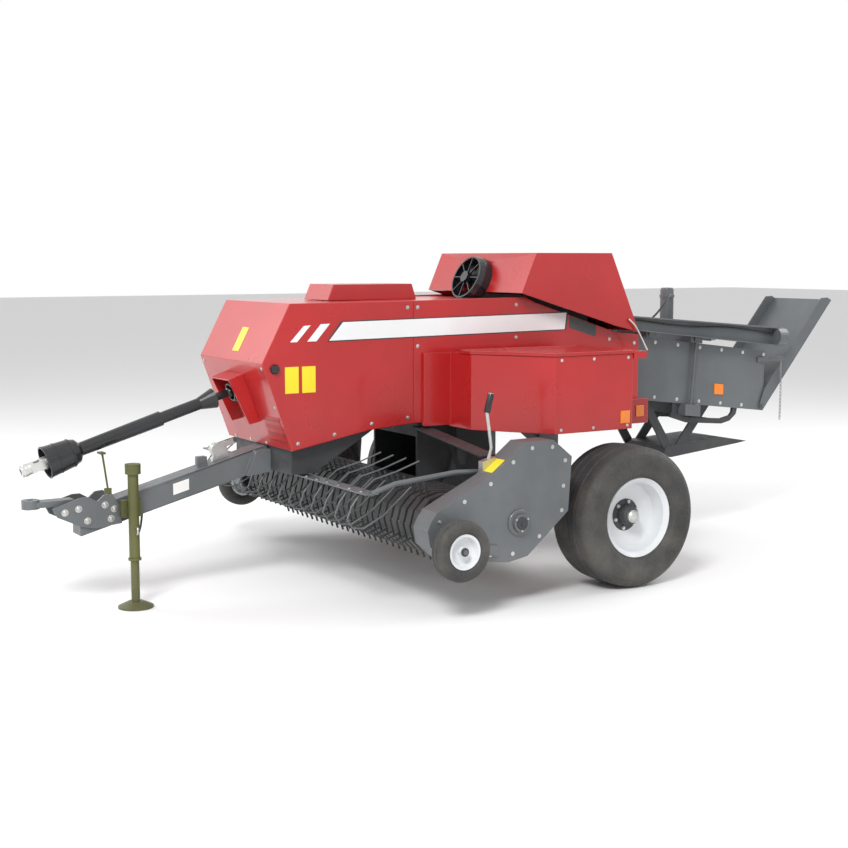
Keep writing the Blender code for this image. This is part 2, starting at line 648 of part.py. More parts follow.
def feed_duct():
    top0 = chamber_z(FEED_Y0, -CHAMBER_HALF_H) - GAP
    top1 = chamber_z(FEED_Y1, -CHAMBER_HALF_H) - GAP
    outer = [(FEED_Y0, FEED_Z), (-0.500, FEED_Z), (FEED_Y1, 0.620), (FEED_Y1, top1), (FEED_Y0, top0)]
    t = FEED_WALL
    inner = [(FEED_Y0 - 0.1, FEED_Z + t), (-0.506, FEED_Z + t), (FEED_Y1 - t, 0.626), (FEED_Y1 - t, top1 + 0.1),
             (FEED_Y0 + t, top0 + 0.1), (FEED_Y0 + t, 0.800), (FEED_Y0 - 0.1, 0.800)]
    w = CHAMBER_HALF_W
    node("feed_duct", "dark_steel", [slab(outer, -w, w)], [slab(inner, t - w, w - t)])


def drive_masses():
    """The closed-in flywheel, gearbox and plunger crank, and the knotters, as plain blocks."""
    low = FRAME_BAR_Z[1] + GAP
    crank = block(-0.290, 0.290, -1.620, -1.100, 0.935, 1.500)
    foot = block(-0.200, 0.200, -1.620, -1.560, low, 0.960)
    stub = rod(along_driveline(-PTO_BALL_R - GAP), along_driveline(-0.340), 0.026, 16)
    node("gearbox_and_flywheel", "dark_steel", [crank, foot, stub])
    h = CHAMBER_HALF_H
    y0, y1 = -0.120, 0.340
    node("knotters", "dark_steel", [slab([(y0, chamber_z(y0, h) + GAP), (y1, chamber_z(y1, h) + GAP),
                                          (y1, 1.560), (y0, 1.600)], -0.280, 0.280)])


def density_gear():
    h, w = CHAMBER_HALF_H, CHAMBER_HALF_W
    y0, y1 = 1.170, 1.270
    top = slab(chamber_strip(y0, y1, h + GAP, h + 0.040), -0.294, 0.294)
    under = slab(chamber_strip(y0 - 0.03, y1, -h - 0.075, -h - GAP), -0.290, 0.290)
    rods = [rod((s * 0.273, 1.235, chamber_z(1.235, h + 0.02)), (s * 0.273, 1.195, chamber_z(1.195, -h - 0.04)), 0.009)
            for s in SIDES.values()]
    node("density_clamp", "grey_paint", [top, under, *rods])
    node("density_crossbar", "grey_paint", [slab(chamber_strip(0.800, 0.880, h + GAP, h + 0.060), -0.294, 0.294)])
    base = chamber_z(1.22, h + 0.040) + 0.006
    pad = slab(chamber_strip(1.180, 1.262, h + 0.040 + GAP, h + 0.052), -0.045, 0.045)
    barrel = rod((0, 1.221, base), (0, 1.221, 1.612), 0.044, 24)
    port = rod((0.0, 1.221, 1.575), (0.070, 1.180, 1.575), 0.010)
    node("density_cylinder", "grey_paint", [barrel, pad, port])


def lamp_arm(side, sign):
    """A channel that carries the tail lamp, open outwards."""
    outline = [(0.640, 1.375), (0.640, 1.462), (1.900, 1.360), (1.900, 1.236)]
    inner = [(0.60, 1.385), (0.60, 1.457), (1.880, 1.352), (1.880, 1.244)]
    shape = slab(outline, *span(sign, 0.294 + GAP, 0.352))
    hollow = slab(inner, *span(sign, 0.302, 0.400))
    lamp = rod((sign * 0.330, 1.880, 1.298), (sign * 0.330, 1.955, 1.296), 0.058, 24)
    foot = [slab([(y, chamber_z(y, CHAMBER_HALF_H + 0.010)), (y + 0.05, chamber_z(y + 0.05, CHAMBER_HALF_H + 0.010)),
                  (y + 0.05, 1.420 - (y - 0.8) * 0.09), (y, 1.420 - (y - 0.8) * 0.09)],
                 *span(sign, 0.294 + GAP, 0.302)) for y in (0.815, 1.200)]
    node(f"lamp_arm_{side}", "grey_paint", [shape, lamp, *foot], [hollow])


def chute():
    y, z = chute_pivot()
    run = Vector((CHUTE_TOP_Y - y, CHUTE_TOP_Z - z))
    length = run.length
    run.normalize()
    off = Vector((run[1], -run[0]))         # away from the bales

    def at(along, out):
        return tuple(Vector((y, z)) + run * along + off * out)

    w = CHUTE_HALF_W
    floor = slab([at(0.052, 0.018), at(0.052, 0.018 + CHUTE_T), at(length, 0.018 + CHUTE_T), at(length, 0.018)],
                 -w - 0.001, w + 0.001)
    fins = [slab([at(-0.022, 0.0), at(-0.010, 0.0180 + CHUTE_T), at(length, 0.018 + CHUTE_T), at(length - 0.01, -0.015),
                  at(length - 0.05, -FIN_H + 0.018), at(0.10, -FIN_H + 0.018), at(0.0, -0.022)],
                 *span(s, w - 0.006, w - 0.006 + CHUTE_T)) for s in SIDES.values()]
    holes = rod((-w - 0.1, y, z), (w + 0.1, y, z), running(0.010, 16), 16)
    node("bale_chute", "grey_paint", [floor, *fins], [holes], at=(0, y, z))


def rear_guards():
    def under(y):
        return chamber_z(y, -CHAMBER_HALF_H) - GAP

    legs = []
    for sign in SIDES.values():
        x0, x1 = span(sign, 0.190, 0.202)
        legs.append(slab([(0.830, under(0.830)), (0.905, under(0.905)), (1.120, 0.590), (1.045, 0.590)], x0, x1))
        legs.append(slab([(1.345, under(1.345)), (1.425, under(1.425)), (1.215, 0.600), (1.135, 0.600)], x0, x1))
    wedge = slab([(1.040, 0.552), (1.060, 0.606), (1.555, 0.630), (1.770, 0.594), (1.690, 0.584), (1.100, 0.530)],
                 -0.205, 0.205)
    node("needle_guard", "dark_steel", [wedge, *legs])
    path = [(1.060, 0.815), (1.200, 0.772), (1.500, 0.747), (1.575, 0.762), (1.612, 0.795), (1.620, under(1.620) - 0.002)]
    rails = []
    for sign in SIDES.values():
        xs = span(sign, 0.222, 0.242)
        lower = [(y, z - 0.017) for y, z in path[:-2]] + [(1.630, 0.787), (1.640, under(1.64))]
        upper = [(y, z + 0.017) for y, z in path[:-2]] + [(1.596, 0.800), (1.600, under(1.60))]
        upper[0] = (1.060, 0.832)
        rails.append(slab(lower + upper[::-1], *xs))
    tie = rod((-0.232, 1.500, 0.747), (0.232, 1.500, 0.747), 0.010)
    post = [slab([(1.070, 0.800), (1.110, 0.800), (1.110, under(1.11)), (1.070, under(1.07))], *span(s, 0.222, 0.242))
            for s in SIDES.values()]
    node("needle_yoke", "dark_steel", [*rails, tie, *post])


# Twine boxes

def box_plan(inset=0.0):
    """The (x, y) outline of the left twine box, drawn in from its outer faces by inset."""
    return [(COVER_HALF_W + GAP + inset, BOX_REAR_Y - inset), (COVER_HALF_W + GAP + inset, BOX_FRONT_Y + inset),
            (BOX_FRONT_X - inset * 0.3, BOX_FRONT_Y + inset), (BOX_OUT_X - inset, BOX_CORNER_Y + inset * 0.54),
            (BOX_OUT_X - inset, BOX_REAR_Y - inset)]


def twine_box(side, sign):
    mirror = [(sign * x, y) for x, y in box_plan()]
    hollow = [(sign * x, y) for x, y in box_plan(BOX_WALL)]
    body = plan(mirror, BOX_Z0, BOX_Z1)
    room = plan(hollow, BOX_Z0 + BOX_WALL, BOX_Z1 + 0.1)
    shelf = block(*span(sign, COVER_HALF_W + GAP + 0.004, LID_HINGE_X - 0.012), BOX_FRONT_Y + 0.004,
                  BOX_REAR_Y - 0.004, BOX_Z1 - BOX_WALL, BOX_Z1)
    strip = block(*span(sign, COVER_HALF_W + GAP, COVER_HALF_W + 0.020), BOX_STRIP_Y, BOX_FRONT_Y + 0.01,
                  BOX_Z0 + 0.010, BOX_Z1)
    tail = block(*span(sign, COVER_HALF_W + GAP, 0.800), BOX_REAR_Y - 0.01, 0.386, 0.860, 1.004)
    node(f"twine_box_{side}", "red_paint", [combine([body, strip], [room]), shelf, tail])


def twine_lid(side, sign):
    z = BOX_Z1 + GAP
    over = 0.008
    outline = [(sign * x, y) for x, y in
               [(LID_HINGE_X, BOX_REAR_Y + over), (LID_HINGE_X, BOX_FRONT_Y - over),
                (BOX_FRONT_X, BOX_FRONT_Y - over), (BOX_OUT_X + over, BOX_CORNER_Y - over),
                (BOX_OUT_X + over, BOX_REAR_Y + over)]]
    top = plan(outline, z, z + 0.014)
    grip = block(*span(sign, BOX_OUT_X - 0.05, BOX_OUT_X + over), BOX_REAR_Y, BOX_REAR_Y + 0.090, z - 0.030, z + 0.010)
    pin = rod((sign * (LID_HINGE_X - 0.006), BOX_FRONT_Y + 0.05, z + 0.007),
              (sign * (LID_HINGE_X - 0.006), BOX_REAR_Y - 0.05, z + 0.007), 0.0066, 10)
    node(f"twine_lid_{side}", "red_paint", [top, pin, grip], at=(sign * (LID_HINGE_X - 0.006), 0, z + 0.007))


# Pickup

SHIELD = ((-1.380, 0.461), (-1.355, 0.510), (-1.324, 0.551), (-1.001, 0.700), (-0.781, 0.866), (-0.601, 0.868),
          (-0.480, 0.773), (-0.501, 0.483), (-0.601, 0.400), (-0.765, 0.267), (-0.882, 0.247), (-1.001, 0.262),
          (-1.280, 0.300), (-1.365, 0.380))


def inset(outline, depth):
    """A convex outline drawn in by depth on every side."""
    points = [Vector(p) for p in outline]
    area = sum(a.x * b.y - b.x * a.y for a, b in zip(points, points[1:] + points[:1]))
    turn = 1 if area > 0 else -1
    result = []
    for before, here, after in zip(points[-1:] + points[:-1], points, points[1:] + points[:1]):
        a = (here - before).normalized()
        b = (after - here).normalized()
        na, nb = Vector((-a.y, a.x)) * turn, Vector((-b.y, b.x)) * turn
        result.append(tuple(here + (na + nb) * (depth / (1 + na.dot(nb)))))
    return result


def pickup_shield(side, sign):
    outer = slab(SHIELD, *span(sign, SHIELD_IN_X, SHIELD_OUT_X))
    room = slab(inset(SHIELD, SHIELD_T), *span(sign, SHIELD_IN_X - 0.1, SHIELD_OUT_X - SHIELD_T))
    hub = rod((sign * (SHIELD_OUT_X - 0.01), -0.821, 0.451), (sign * (SHIELD_OUT_X + 0.030), -0.821, 0.451), 0.048, 24)
    node(f"pickup_shield_{side}", "grey_paint", [combine([outer], [room]), hub])


def pickup_frame():
    reach = SHIELD_OUT_X - SHIELD_T - GAP
    pieces = [rod((-reach, -0.895, 0.318), (reach, -0.895, 0.318), 0.022, 12)]
    middle = (-0.780, 0.470)
    trough = [*arc(middle, 0.165, 225, 345, 6), *reversed(list(arc(middle, 0.155, 225, 345, 6)))]
    for sign in SIDES.values():
        pieces.append(slab(trough, *span(sign, 0.272, SHIELD_IN_X - GAP)))
        pieces.append(slab([(-0.915, 0.305), (-0.880, 0.290), (-0.620, 0.350), (-0.565, 0.650), (-0.570, 0.690),
                            (-0.630, 0.690), (-0.660, 0.600), (-0.760, 0.440)], *span(sign, 0.272, 0.286)))
        lid = [(0.36, 0.876), (1.045, 0.792), (1.045, 0.784), (0.36, 0.868)]
        pieces.append(cross([(sign * x, z) for x, z in lid], -0.960, -0.860))
        pieces.append(slab([(-0.905, 0.845), (-0.890, 0.845), (-0.660, 0.370), (-0.700, 0.340)],
                           *span(sign, 0.620, 0.632)))
        pieces.append(slab([(-0.915, 0.790), (-0.890, 0.790), (-0.880, 0.325), (-0.905, 0.325)],
                           *span(sign, 1.036, 1.048)))
    holes = rod((-0.29, *LIFT), (0.29, *LIFT), running(0.012, 16), 16)
    node("pickup_frame", "dark_steel", pieces, [holes], at=(0, *LIFT))


def stripper_bands():
    """Hairpin strips round the front of the reel, one between each pair of tines, on two cross bars behind it."""
    y, z = REEL
    back = y + REEL_TIP_R - 0.020
    low, high = z - BAND_R, z + BAND_R
    outline = [(back, high - 0.015), *arc(REEL, BAND_R, 90, 270, 6), (back, low + 0.006),
               (back, low + 0.006 + BAND_T), *arc(REEL, BAND_R - BAND_T, 270, 90, 6), (back, high - 0.015 - BAND_T)]
    count = TINE_COUNT + 1
    bands = [slab(outline, x - BAND_W / 2, x + BAND_W / 2)
             for x in (TINE_PITCH * (k - (count - 1) / 2) for k in range(count))]
    reach = SHIELD_OUT_X - SHIELD_T - GAP
    bars = []
    for centre in (high - 0.021, low + 0.012):
        bars.append(block(-reach, reach, back - 0.010, back + 0.008, centre - 0.010, centre + 0.008))
    node("stripper_bands", "dark_steel", [bars[0], *bands, bars[1]])


def pickup_reel():
    """A tube with three discs, and bars of tines that reach out between the bands."""
    reach = SHIELD_OUT_X - SHIELD_T - GAP
    centre = Vector((0, *REEL))
    pieces = [rod((-reach, *REEL), (reach, *REEL), 0.028, 16)]
    for x in (-1.020, 0.0, 1.020):
        pieces.append(rod((x - 0.004, *REEL), (x + 0.004, *REEL), REEL_BAR_R + 0.012, 20))
    half = TINE_PITCH * (TINE_COUNT - 1) / 2
    low, high = REEL_BAR_R - 0.008, REEL_BAR_R + 0.008
    for row in range(TINE_ROWS):
        comb = [(-1.020, low), (1.020, low), (1.020, high)]
        for k in reversed(range(TINE_COUNT)):
            x = TINE_PITCH * k - half
            comb += [(x + TINE_T / 2, high), (x + TINE_T / 2, REEL_TIP_R), (x - TINE_T / 2, REEL_TIP_R),
                     (x - TINE_T / 2, high)]
        comb.append((-1.020, high))
        a = math.tau * row / TINE_ROWS + math.radians(20)
        out = Vector((0, math.cos(a), math.sin(a)))
        round_ = Vector((0, -math.sin(a), math.cos(a)))
        pieces.append(rings([[centre + Vector((x, 0, 0)) + out * r + round_ * t for x, r in comb]
                             for t in (-0.005, 0.005)]))
    node("pickup_reel", "dark_steel", pieces, at=centre)


def windguard():
    y, z = GUARD_BAR
    bar = block(-1.030, 1.030, y - 0.038, y + 0.038, z - 0.004, z + 0.004)
    pieces = [bar]
    for sign in SIDES.values():
        x = sign * 1.018
        pieces.append(swept([(x, y, z), (x, -1.460, 0.682), (x, -1.100, 0.712), (x, *GUARD_PIVOT)], 0.014, 8))
        pieces.append(rod((x - sign * 0.014, *GUARD_PIVOT), (sign * (SHIELD_OUT_X - SHIELD_T - GAP), *GUARD_PIVOT),
                          0.008, 10))
    for k in range(-7, 8):
        x = TINE_PITCH * 2 * k + (0 if TINE_COUNT % 2 == 0 else TINE_PITCH / 2)
        pieces.append(swept([(x, y, z), (x, y - 0.060, z - 0.075), (x, y - 0.085, 0.505), (x, y - 0.055, 0.460),
                             (x, y + 0.010, 0.452), (x, y + 0.130, 0.510), (x, y + 0.290, 0.640)], 0.0045, 4))
        if abs(x) > 0.40:
            pieces.append(swept([(x, y, z), (x, y + 0.07, z + 0.055), (x, y + 0.20, z + 0.085), (x, y + 0.34, z + 0.130)],
                                0.0045, 4))
    node("windguard", "grey_paint", pieces, at=(0, *GUARD_PIVOT))


def gauge_wheel(side, sign):
    middle = (sign * GAUGE_X, GAUGE_Y, GAUGE_Z)
    w, r, b = GAUGE_W / 2, GAUGE_R, GAUGE_BEAD_R
    half = [(0.036, b - 0.006), (0.036, b + 0.008), (w * 0.9, b + 0.022), (w, r - 0.040), (w * 0.86, r - 0.014),
            (w * 0.5, r - 0.002), (0, r)]
    profile = half + [(-x, q) for x, q in reversed(half[:-1])]
    node(f"gauge_tyre_{side}", "tyre_rubber", [turned(profile, middle, (1, 0, 0), GAUGE_STEPS)], at=middle)
    seat = b - 0.006 - GAP
    edge = 0.036 + GAP
    rim = [(-edge - 0.004, b + 0.004), (-edge, b + 0.004), (-edge, seat), (edge, seat), (edge, b + 0.004),
           (edge + 0.004, b + 0.004), (edge + 0.004, seat - 0.006), (0.010, seat - 0.008), (0.004, 0.030),
           (0.034, 0.026), (0.034, running(GAUGE_PIN_R, GAUGE_STEPS)), (-0.034, running(GAUGE_PIN_R, GAUGE_STEPS)), (-0.034, 0.026),
           (-0.004, 0.030), (-0.002, seat - 0.008), (-edge - 0.004, seat - 0.006)]
    node(f"gauge_rim_{side}", "rim_silver", [turned(rim, middle, (1, 0, 0), GAUGE_STEPS, sign)], at=middle)
    x0 = SHIELD_OUT_X + GAP
    plate = slab([(-0.960, 0.290), (-0.960, 0.345), (GAUGE_Y - 0.020, GAUGE_Z + 0.026),
                  (GAUGE_Y - 0.030, GAUGE_Z - 0.026)], *span(sign, x0, x0 + 0.012))
    pin = rod((sign * (x0 + 0.006), GAUGE_Y, GAUGE_Z), (sign * (GAUGE_X + 0.048), GAUGE_Y, GAUGE_Z), GAUGE_PIN_R, 16)
    stop = rod((sign * (x0 + 0.006), GAUGE_Y, GAUGE_Z), (sign * (GAUGE_X - 0.040), GAUGE_Y, GAUGE_Z), 0.020, 16)
    node(f"gauge_arm_{side}", "grey_paint", [plate, stop, pin])


def crank():
    x = 1.085
    post = swept([(x, -0.944, 0.762), (x, -0.930, 0.800), (x, -0.919, 0.835), (x, -0.949, 1.031)], 0.009, 8)
    grip = rod((x, -0.9475, 1.022), (x, -0.922, 1.121), 0.015, 12)
    foot = slab([(-0.985, 0.7121 + 0.0004), (-0.905, 0.7724 + 0.0004), (-0.905, 0.790), (-0.985, 0.770)],
                x - 0.02, x + 0.02)
    node("pickup_crank", "zinc_steel", [foot, post, grip])


# Small pieces on the drawbar, and the cords

def drawbar_lever():
    top = drawbar_z(-2.0) + DRAWBAR_DEPTH / 2 * math.hypot(1, DRAWBAR_RISE)
    foot = slab([(-2.02, top - 0.02 * DRAWBAR_RISE + GAP * 2), (-1.92, top + 0.08 * DRAWBAR_RISE + GAP * 2),
                 (-1.935, top + 0.075),
                 (-2.005, top + 0.055)], -0.012, 0.012)
    wheel = rod((-0.022, -1.990, top + 0.060), (0.022, -1.990, top + 0.060), 0.036, 20)
    arm = beam((0.0, -2.010, top + 0.066), (0.0, -1.890, top + 0.100), 0.010, 0.030)
    node("drawbar_lever", "zinc_steel", [foot, wheel, arm])


def route(points, step):
    """Points at about that spacing on a smooth curve through a route's own points."""
    ends = [points[0] * 2 - points[1], *points, points[-1] * 2 - points[-2]]
    result = []
    for a, b, c, d in zip(ends, ends[1:], ends[2:], ends[3:]):
        count = max(1, round((c - b).length / step))
        for k in range(count):
            t = k / count
            result.append(0.5 * (2 * b + (c - a) * t + (2 * a - 5 * b + 4 * c - d) * t ** 2
                                 + (3 * b - a - 3 * c + d) * t ** 3))
    return [*result, points[-1]]


def cord(name, colour, points, radius, resolution):
    curve = bpy.data.curves.new(name, "CURVE")
    curve.dimensions = "3D"
    curve.bevel_depth = radius
    curve.bevel_resolution = resolution
    curve.use_fill_caps = True
    places = route([Vector(p) for p in points], radius * 5)
    spline = curve.splines.new("POLY")
    spline.points.add(len(places) - 1)
    for point, place in zip(spline.points, places):
        point.co = (*place, 1.0)
    curve.materials.append(paint(colour))
    obj = bpy.data.objects.new(name, curve)
    obj.parent = bpy.data.objects["baler"]
    bpy.context.scene.collection.objects.link(obj)


def cords():
    cord("chute_chain", "zinc_steel", CHAIN_ROUTE, 0.0075, 2)
    cord("density_hose", "black_plastic", HOSE_ROUTE, 0.0065, 2)


def build():
    clear_scene()
    root = bpy.data.objects.new("baler", None)
    bpy.context.scene.collection.objects.link(root)
    root.location = (0, -(FRONT_Y + REAR_Y) / 2, 0)
    for both in (main_wheel, side_shield, lamp_arm, twine_box, twine_lid, pickup_shield, gauge_wheel):
        sides(both)
    for one in (axle, chassis, drawbar, hitch, jack, driveline, driveline_guard, front_shield, top_covers, hood,
                knotter_fan, bale_chamber, feed_duct, drive_masses, density_gear, chute, rear_guards, pickup_frame,
                stripper_bands, pickup_reel, windguard, crank, drawbar_lever, cords):
        one()


build()
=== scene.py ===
"""Looks of the small square baler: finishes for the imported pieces, detailed wheels, and the small fittings.

Metres, +Z up, +X the machine's left, -Y forward. Places are given from the axle, and the axle line lies
AXLE_Y behind the frame's origin.
"""

import json
import math

import bpy
import numpy as np
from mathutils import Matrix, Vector


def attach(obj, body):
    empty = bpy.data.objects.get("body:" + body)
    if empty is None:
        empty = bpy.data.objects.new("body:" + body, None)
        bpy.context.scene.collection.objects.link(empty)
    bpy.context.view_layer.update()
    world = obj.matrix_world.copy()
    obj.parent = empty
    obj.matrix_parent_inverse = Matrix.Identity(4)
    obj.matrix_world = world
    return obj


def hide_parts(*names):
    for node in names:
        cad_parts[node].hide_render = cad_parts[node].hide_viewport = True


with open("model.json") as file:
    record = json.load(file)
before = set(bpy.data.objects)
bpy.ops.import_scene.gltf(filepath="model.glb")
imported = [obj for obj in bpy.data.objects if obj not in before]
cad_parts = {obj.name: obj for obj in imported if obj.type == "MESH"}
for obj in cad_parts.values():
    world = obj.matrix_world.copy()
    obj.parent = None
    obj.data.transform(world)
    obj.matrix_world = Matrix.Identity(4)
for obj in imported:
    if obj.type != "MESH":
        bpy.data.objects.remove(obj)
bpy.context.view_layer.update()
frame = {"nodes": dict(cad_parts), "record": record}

AXLE_Y = 0.2935
TAU = 2 * np.pi
SIDES = ((1, "left"), (-1, "right"))
SHARP_ANGLE = math.radians(38)
DUST = (0.36, 0.32, 0.26)

# Half widths of the faces that fittings stand on, and the middles of the parts they belong to, from the axle
WHEEL_X, WHEEL_Z = 1.05, 0.3935
GAUGE_X, GAUGE_Y, GAUGE_Z = 1.31, -1.253, 0.367
REEL_Y, REEL_Z = -0.821, 0.451
COVER_X = 0.411
BOX_X = 1.050
CHAMBER_X = 0.250
SHIELD_X = 1.200
HITCH_X = 0.0775
JACK_X, JACK_Y = 0.143, -2.520
CYLINDER_Y = 1.221


def at(x, y, z):
    """A place given from the axle, as an array in the frame."""
    return np.array([x, y + AXLE_Y, z], float)


# ---- finishes ----------------------------------------------------------------------------------------

def finish(name, colour, roughness, metallic=0.0, coat=0.0, vary=0.06, dust=0.0, dust_top=0.9, grain=90.0,
           bump=0.02, dots=None):
    """A Principled finish: the colour is broken up by two sizes of noise, dust gathers towards the ground,
    and fine noise drives roughness and bump. Dots, where given, are the spacing and radius of a perforated
    sheet's holes."""
    material = bpy.data.materials.new(name)
    material.use_nodes = True
    tree = material.node_tree
    nodes, links = tree.nodes, tree.links
    shader = nodes["Principled BSDF"]
    shader.inputs["Metallic"].default_value = metallic
    shader.inputs["Coat Weight"].default_value = coat
    shader.inputs["Coat Roughness"].default_value = 0.08
    place = nodes.new("ShaderNodeTexCoord").outputs["Object"]

    def noise(scale, detail=4.0):
        node = nodes.new("ShaderNodeTexNoise")
        node.inputs["Scale"].default_value = scale
        node.inputs["Detail"].default_value = detail
        links.new(place, node.inputs["Vector"])
        return node.outputs["Fac"]

    def ramp(value, low, high, start, end):
        node = nodes.new("ShaderNodeMapRange")
        for key, number in (("From Min", low), ("From Max", high), ("To Min", start), ("To Max", end)):
            node.inputs[key].default_value = number
        links.new(value, node.inputs["Value"])
        return node.outputs["Result"]

    def mixed(factor, first, second):
        node = nodes.new("ShaderNodeMix")
        node.data_type = "RGBA"
        for key, value in (("A", first), ("B", second)):
            socket = [s for s in node.inputs if s.name == key and s.type == "RGBA"][0]
            if isinstance(value, tuple):
                socket.default_value = (*value, 1.0)
            else:
                links.new(value, socket)
        links.new(factor, node.inputs["Factor"])
        return [s for s in node.outputs if s.type == "RGBA"][0]

    dark = tuple(c * (1 - vary * 2.5) for c in colour)
    pale = tuple(min(1.0, c * (1 + vary * 2.0) + 0.01 * vary) for c in colour)
    base = mixed(ramp(noise(2.3), 0.35, 0.65, 0, 1), dark, pale)
    if dust:
        split = nodes.new("ShaderNodeSeparateXYZ")
        links.new(place, split.inputs["Vector"])
        low = ramp(split.outputs["Z"], 0.0, dust_top, dust, 0.0)
        patchy = ramp(noise(7.0, 6.0), 0.38, 0.68, 0.25, 1.0)
        amount = nodes.new("ShaderNodeMath")
        amount.operation = "MULTIPLY"
        links.new(low, amount.inputs[0])
        links.new(patchy, amount.inputs[1])
        base = mixed(amount.outputs[0], base, DUST)
    height = noise(grain, 3.0)
    if dots:
        spacing, radius = dots
        cell = nodes.new("ShaderNodeVectorMath")
        cell.operation = "SNAP"
        cell.inputs[1].default_value = (spacing,) * 3
        shifted = nodes.new("ShaderNodeVectorMath")
        shifted.operation = "ADD"
        shifted.inputs[1].default_value = (spacing / 2,) * 3
        links.new(place, shifted.inputs[0])
        links.new(shifted.outputs[0], cell.inputs[0])
        away = nodes.new("ShaderNodeVectorMath")
        away.operation = "DISTANCE"
        links.new(place, away.inputs[0])
        links.new(cell.outputs[0], away.inputs[1])
        hole = ramp(away.outputs["Value"], radius, radius * 1.25, 0.0, 1.0)
        base = mixed(hole, (0.006, 0.006, 0.006), base)
        height = hole
    links.new(base, shader.inputs["Base Color"])
    links.new(ramp(noise(grain * 0.3), 0.3, 0.7, roughness * 0.85, min(1.0, roughness * 1.2)),
              shader.inputs["Roughness"])
    relief = nodes.new("ShaderNodeBump")
    relief.inputs["Strength"].default_value = bump if not dots else 0.6
    relief.inputs["Distance"].default_value = 0.002
    links.new(height, relief.inputs["Height"])
    links.new(relief.outputs["Normal"], shader.inputs["Normal"])
    return material


FINISHES = {
    "red_paint": finish("red_paint", (0.410, 0.011, 0.012), 0.30, coat=0.40, vary=0.03, dust=0.05,
                        dust_top=1.1, grain=14.0, bump=0.01),
    "grey_paint": finish("grey_paint", (0.110, 0.122, 0.130), 0.42, coat=0.10, vary=0.07, dust=0.14),
    "dark_steel": finish("dark_steel", (0.030, 0.033, 0.037), 0.50, vary=0.12, dust=0.16, bump=0.05),
    "rim_silver": finish("rim_silver", (0.700, 0.720, 0.740), 0.34, coat=0.10, vary=0.03, dust=0.10),
    "tyre_rubber": finish("tyre_rubber", (0.034, 0.036, 0.038), 0.72, vary=0.15, dust=0.22, dust_top=1.2,
                          grain=240, bump=0.15),
    "zinc_steel": finish("zinc_steel", (0.560, 0.560, 0.540), 0.34, metallic=0.9, vary=0.08, grain=160,
                         bump=0.05),
    "olive_paint": finish("olive_paint", (0.105, 0.110, 0.030), 0.46, metallic=0.15, vary=0.12, dust=0.12,
                          bump=0.05),
    "black_plastic": finish("black_plastic", (0.010, 0.011, 0.013), 0.30, coat=0.2, vary=0.10),
}
WHITE_STRIPE = finish("white_stripe", (0.78, 0.79, 0.80), 0.32, coat=0.3, vary=0.02)
STRIPE_EDGE = finish("stripe_edge", (0.035, 0.037, 0.040), 0.35, vary=0.04)
YELLOW_LABEL = finish("yellow_label", (0.82, 0.64, 0.02), 0.40, vary=0.03)
WHITE_LABEL = finish("white_label", (0.80, 0.80, 0.78), 0.42, vary=0.03)
AMBER = finish("amber_reflector", (0.85, 0.22, 0.01), 0.18, coat=0.6, vary=0.06, dots=(0.006, 0.0009))
LAMP_RED = finish("lamp_red", (0.42, 0.008, 0.008), 0.16, coat=0.7, vary=0.05)
RED_GRILLE = finish("perforated_red", (0.430, 0.012, 0.010), 0.36, vary=0.05, dots=(0.014, 0.0042))
DARK_MESH = finish("perforated_dark", (0.060, 0.064, 0.068), 0.45, vary=0.05, dots=(0.012, 0.0038))
CHAIN = finish("chain_link", (0.42, 0.42, 0.40), 0.38, metallic=0.85, vary=0.10)
LOOKS = {**FINISHES, **{m.name: m for m in (WHITE_STRIPE, STRIPE_EDGE, YELLOW_LABEL, WHITE_LABEL, AMBER,
                                            LAMP_RED, RED_GRILLE, DARK_MESH, CHAIN)}}


# ---- surfaces ----------------------------------------------------------------------------------------

def grid_faces(rows, columns, around=True, along=False):
    """Four-sided faces of a rows by columns grid of points, closed round each row or along the rows."""
    u = np.arange(rows if along else rows - 1)
    v = np.arange(columns if around else columns - 1)
    u, v = np.meshgrid(u, v, indexing="ij")
    u, v = u.ravel(), v.ravel()
    n, m = (u + 1) % rows, (v + 1) % columns
    return np.stack([u * columns + v, u * columns + m, n * columns + m, n * columns + v], axis=1)


def piece(name, points, faces, look, body, smooth=True, replaces=()):
    """A piece on a body, from arrays of points and four-sided faces, with one of LOOKS as its finish."""
    mesh = bpy.data.meshes.new(name)
    mesh.vertices.add(len(points))
    mesh.vertices.foreach_set("co", np.asarray(points, np.float32).ravel())
    mesh.loops.add(len(faces) * 4)
    mesh.loops.foreach_set("vertex_index", np.asarray(faces, np.int32).ravel())
    mesh.polygons.add(len(faces))
    mesh.polygons.foreach_set("loop_start", np.arange(len(faces), dtype=np.int32) * 4)
    mesh.update(calc_edges=True)
    mesh.validate()
    mesh.materials.append(LOOKS[look])
    mesh.polygons.foreach_set("use_smooth", np.full(len(mesh.polygons), smooth))
    if smooth:
        mesh.set_sharp_from_angle(angle=SHARP_ANGLE)
    obj = bpy.data.objects.new(name, mesh)
    bpy.context.scene.collection.objects.link(obj)
    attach(obj, body)
    if replaces:
        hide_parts(*replaces)
    return obj


def facing(points, faces):
    """Turns every face over where the closed shape's signed volume is negative."""
    a, b, c, d = (points[faces[:, k]] for k in range(4))
    volume = np.einsum("ij,ij->i", a, np.cross(b, c)).sum() + np.einsum("ij,ij->i", a, np.cross(c, d)).sum()
    return faces if volume > 0 else faces[:, ::-1]


def frame_of(axis):
    """Two directions square to an axis, and the axis itself, as rows."""
    axis = np.asarray(axis, float) / np.linalg.norm(axis)
    side = np.cross(axis, (0, 0, 1.0) if abs(axis[2]) < 0.9 else (1.0, 0, 0))
    side /= np.linalg.norm(side)
    return np.stack([side, np.cross(axis, side), axis])


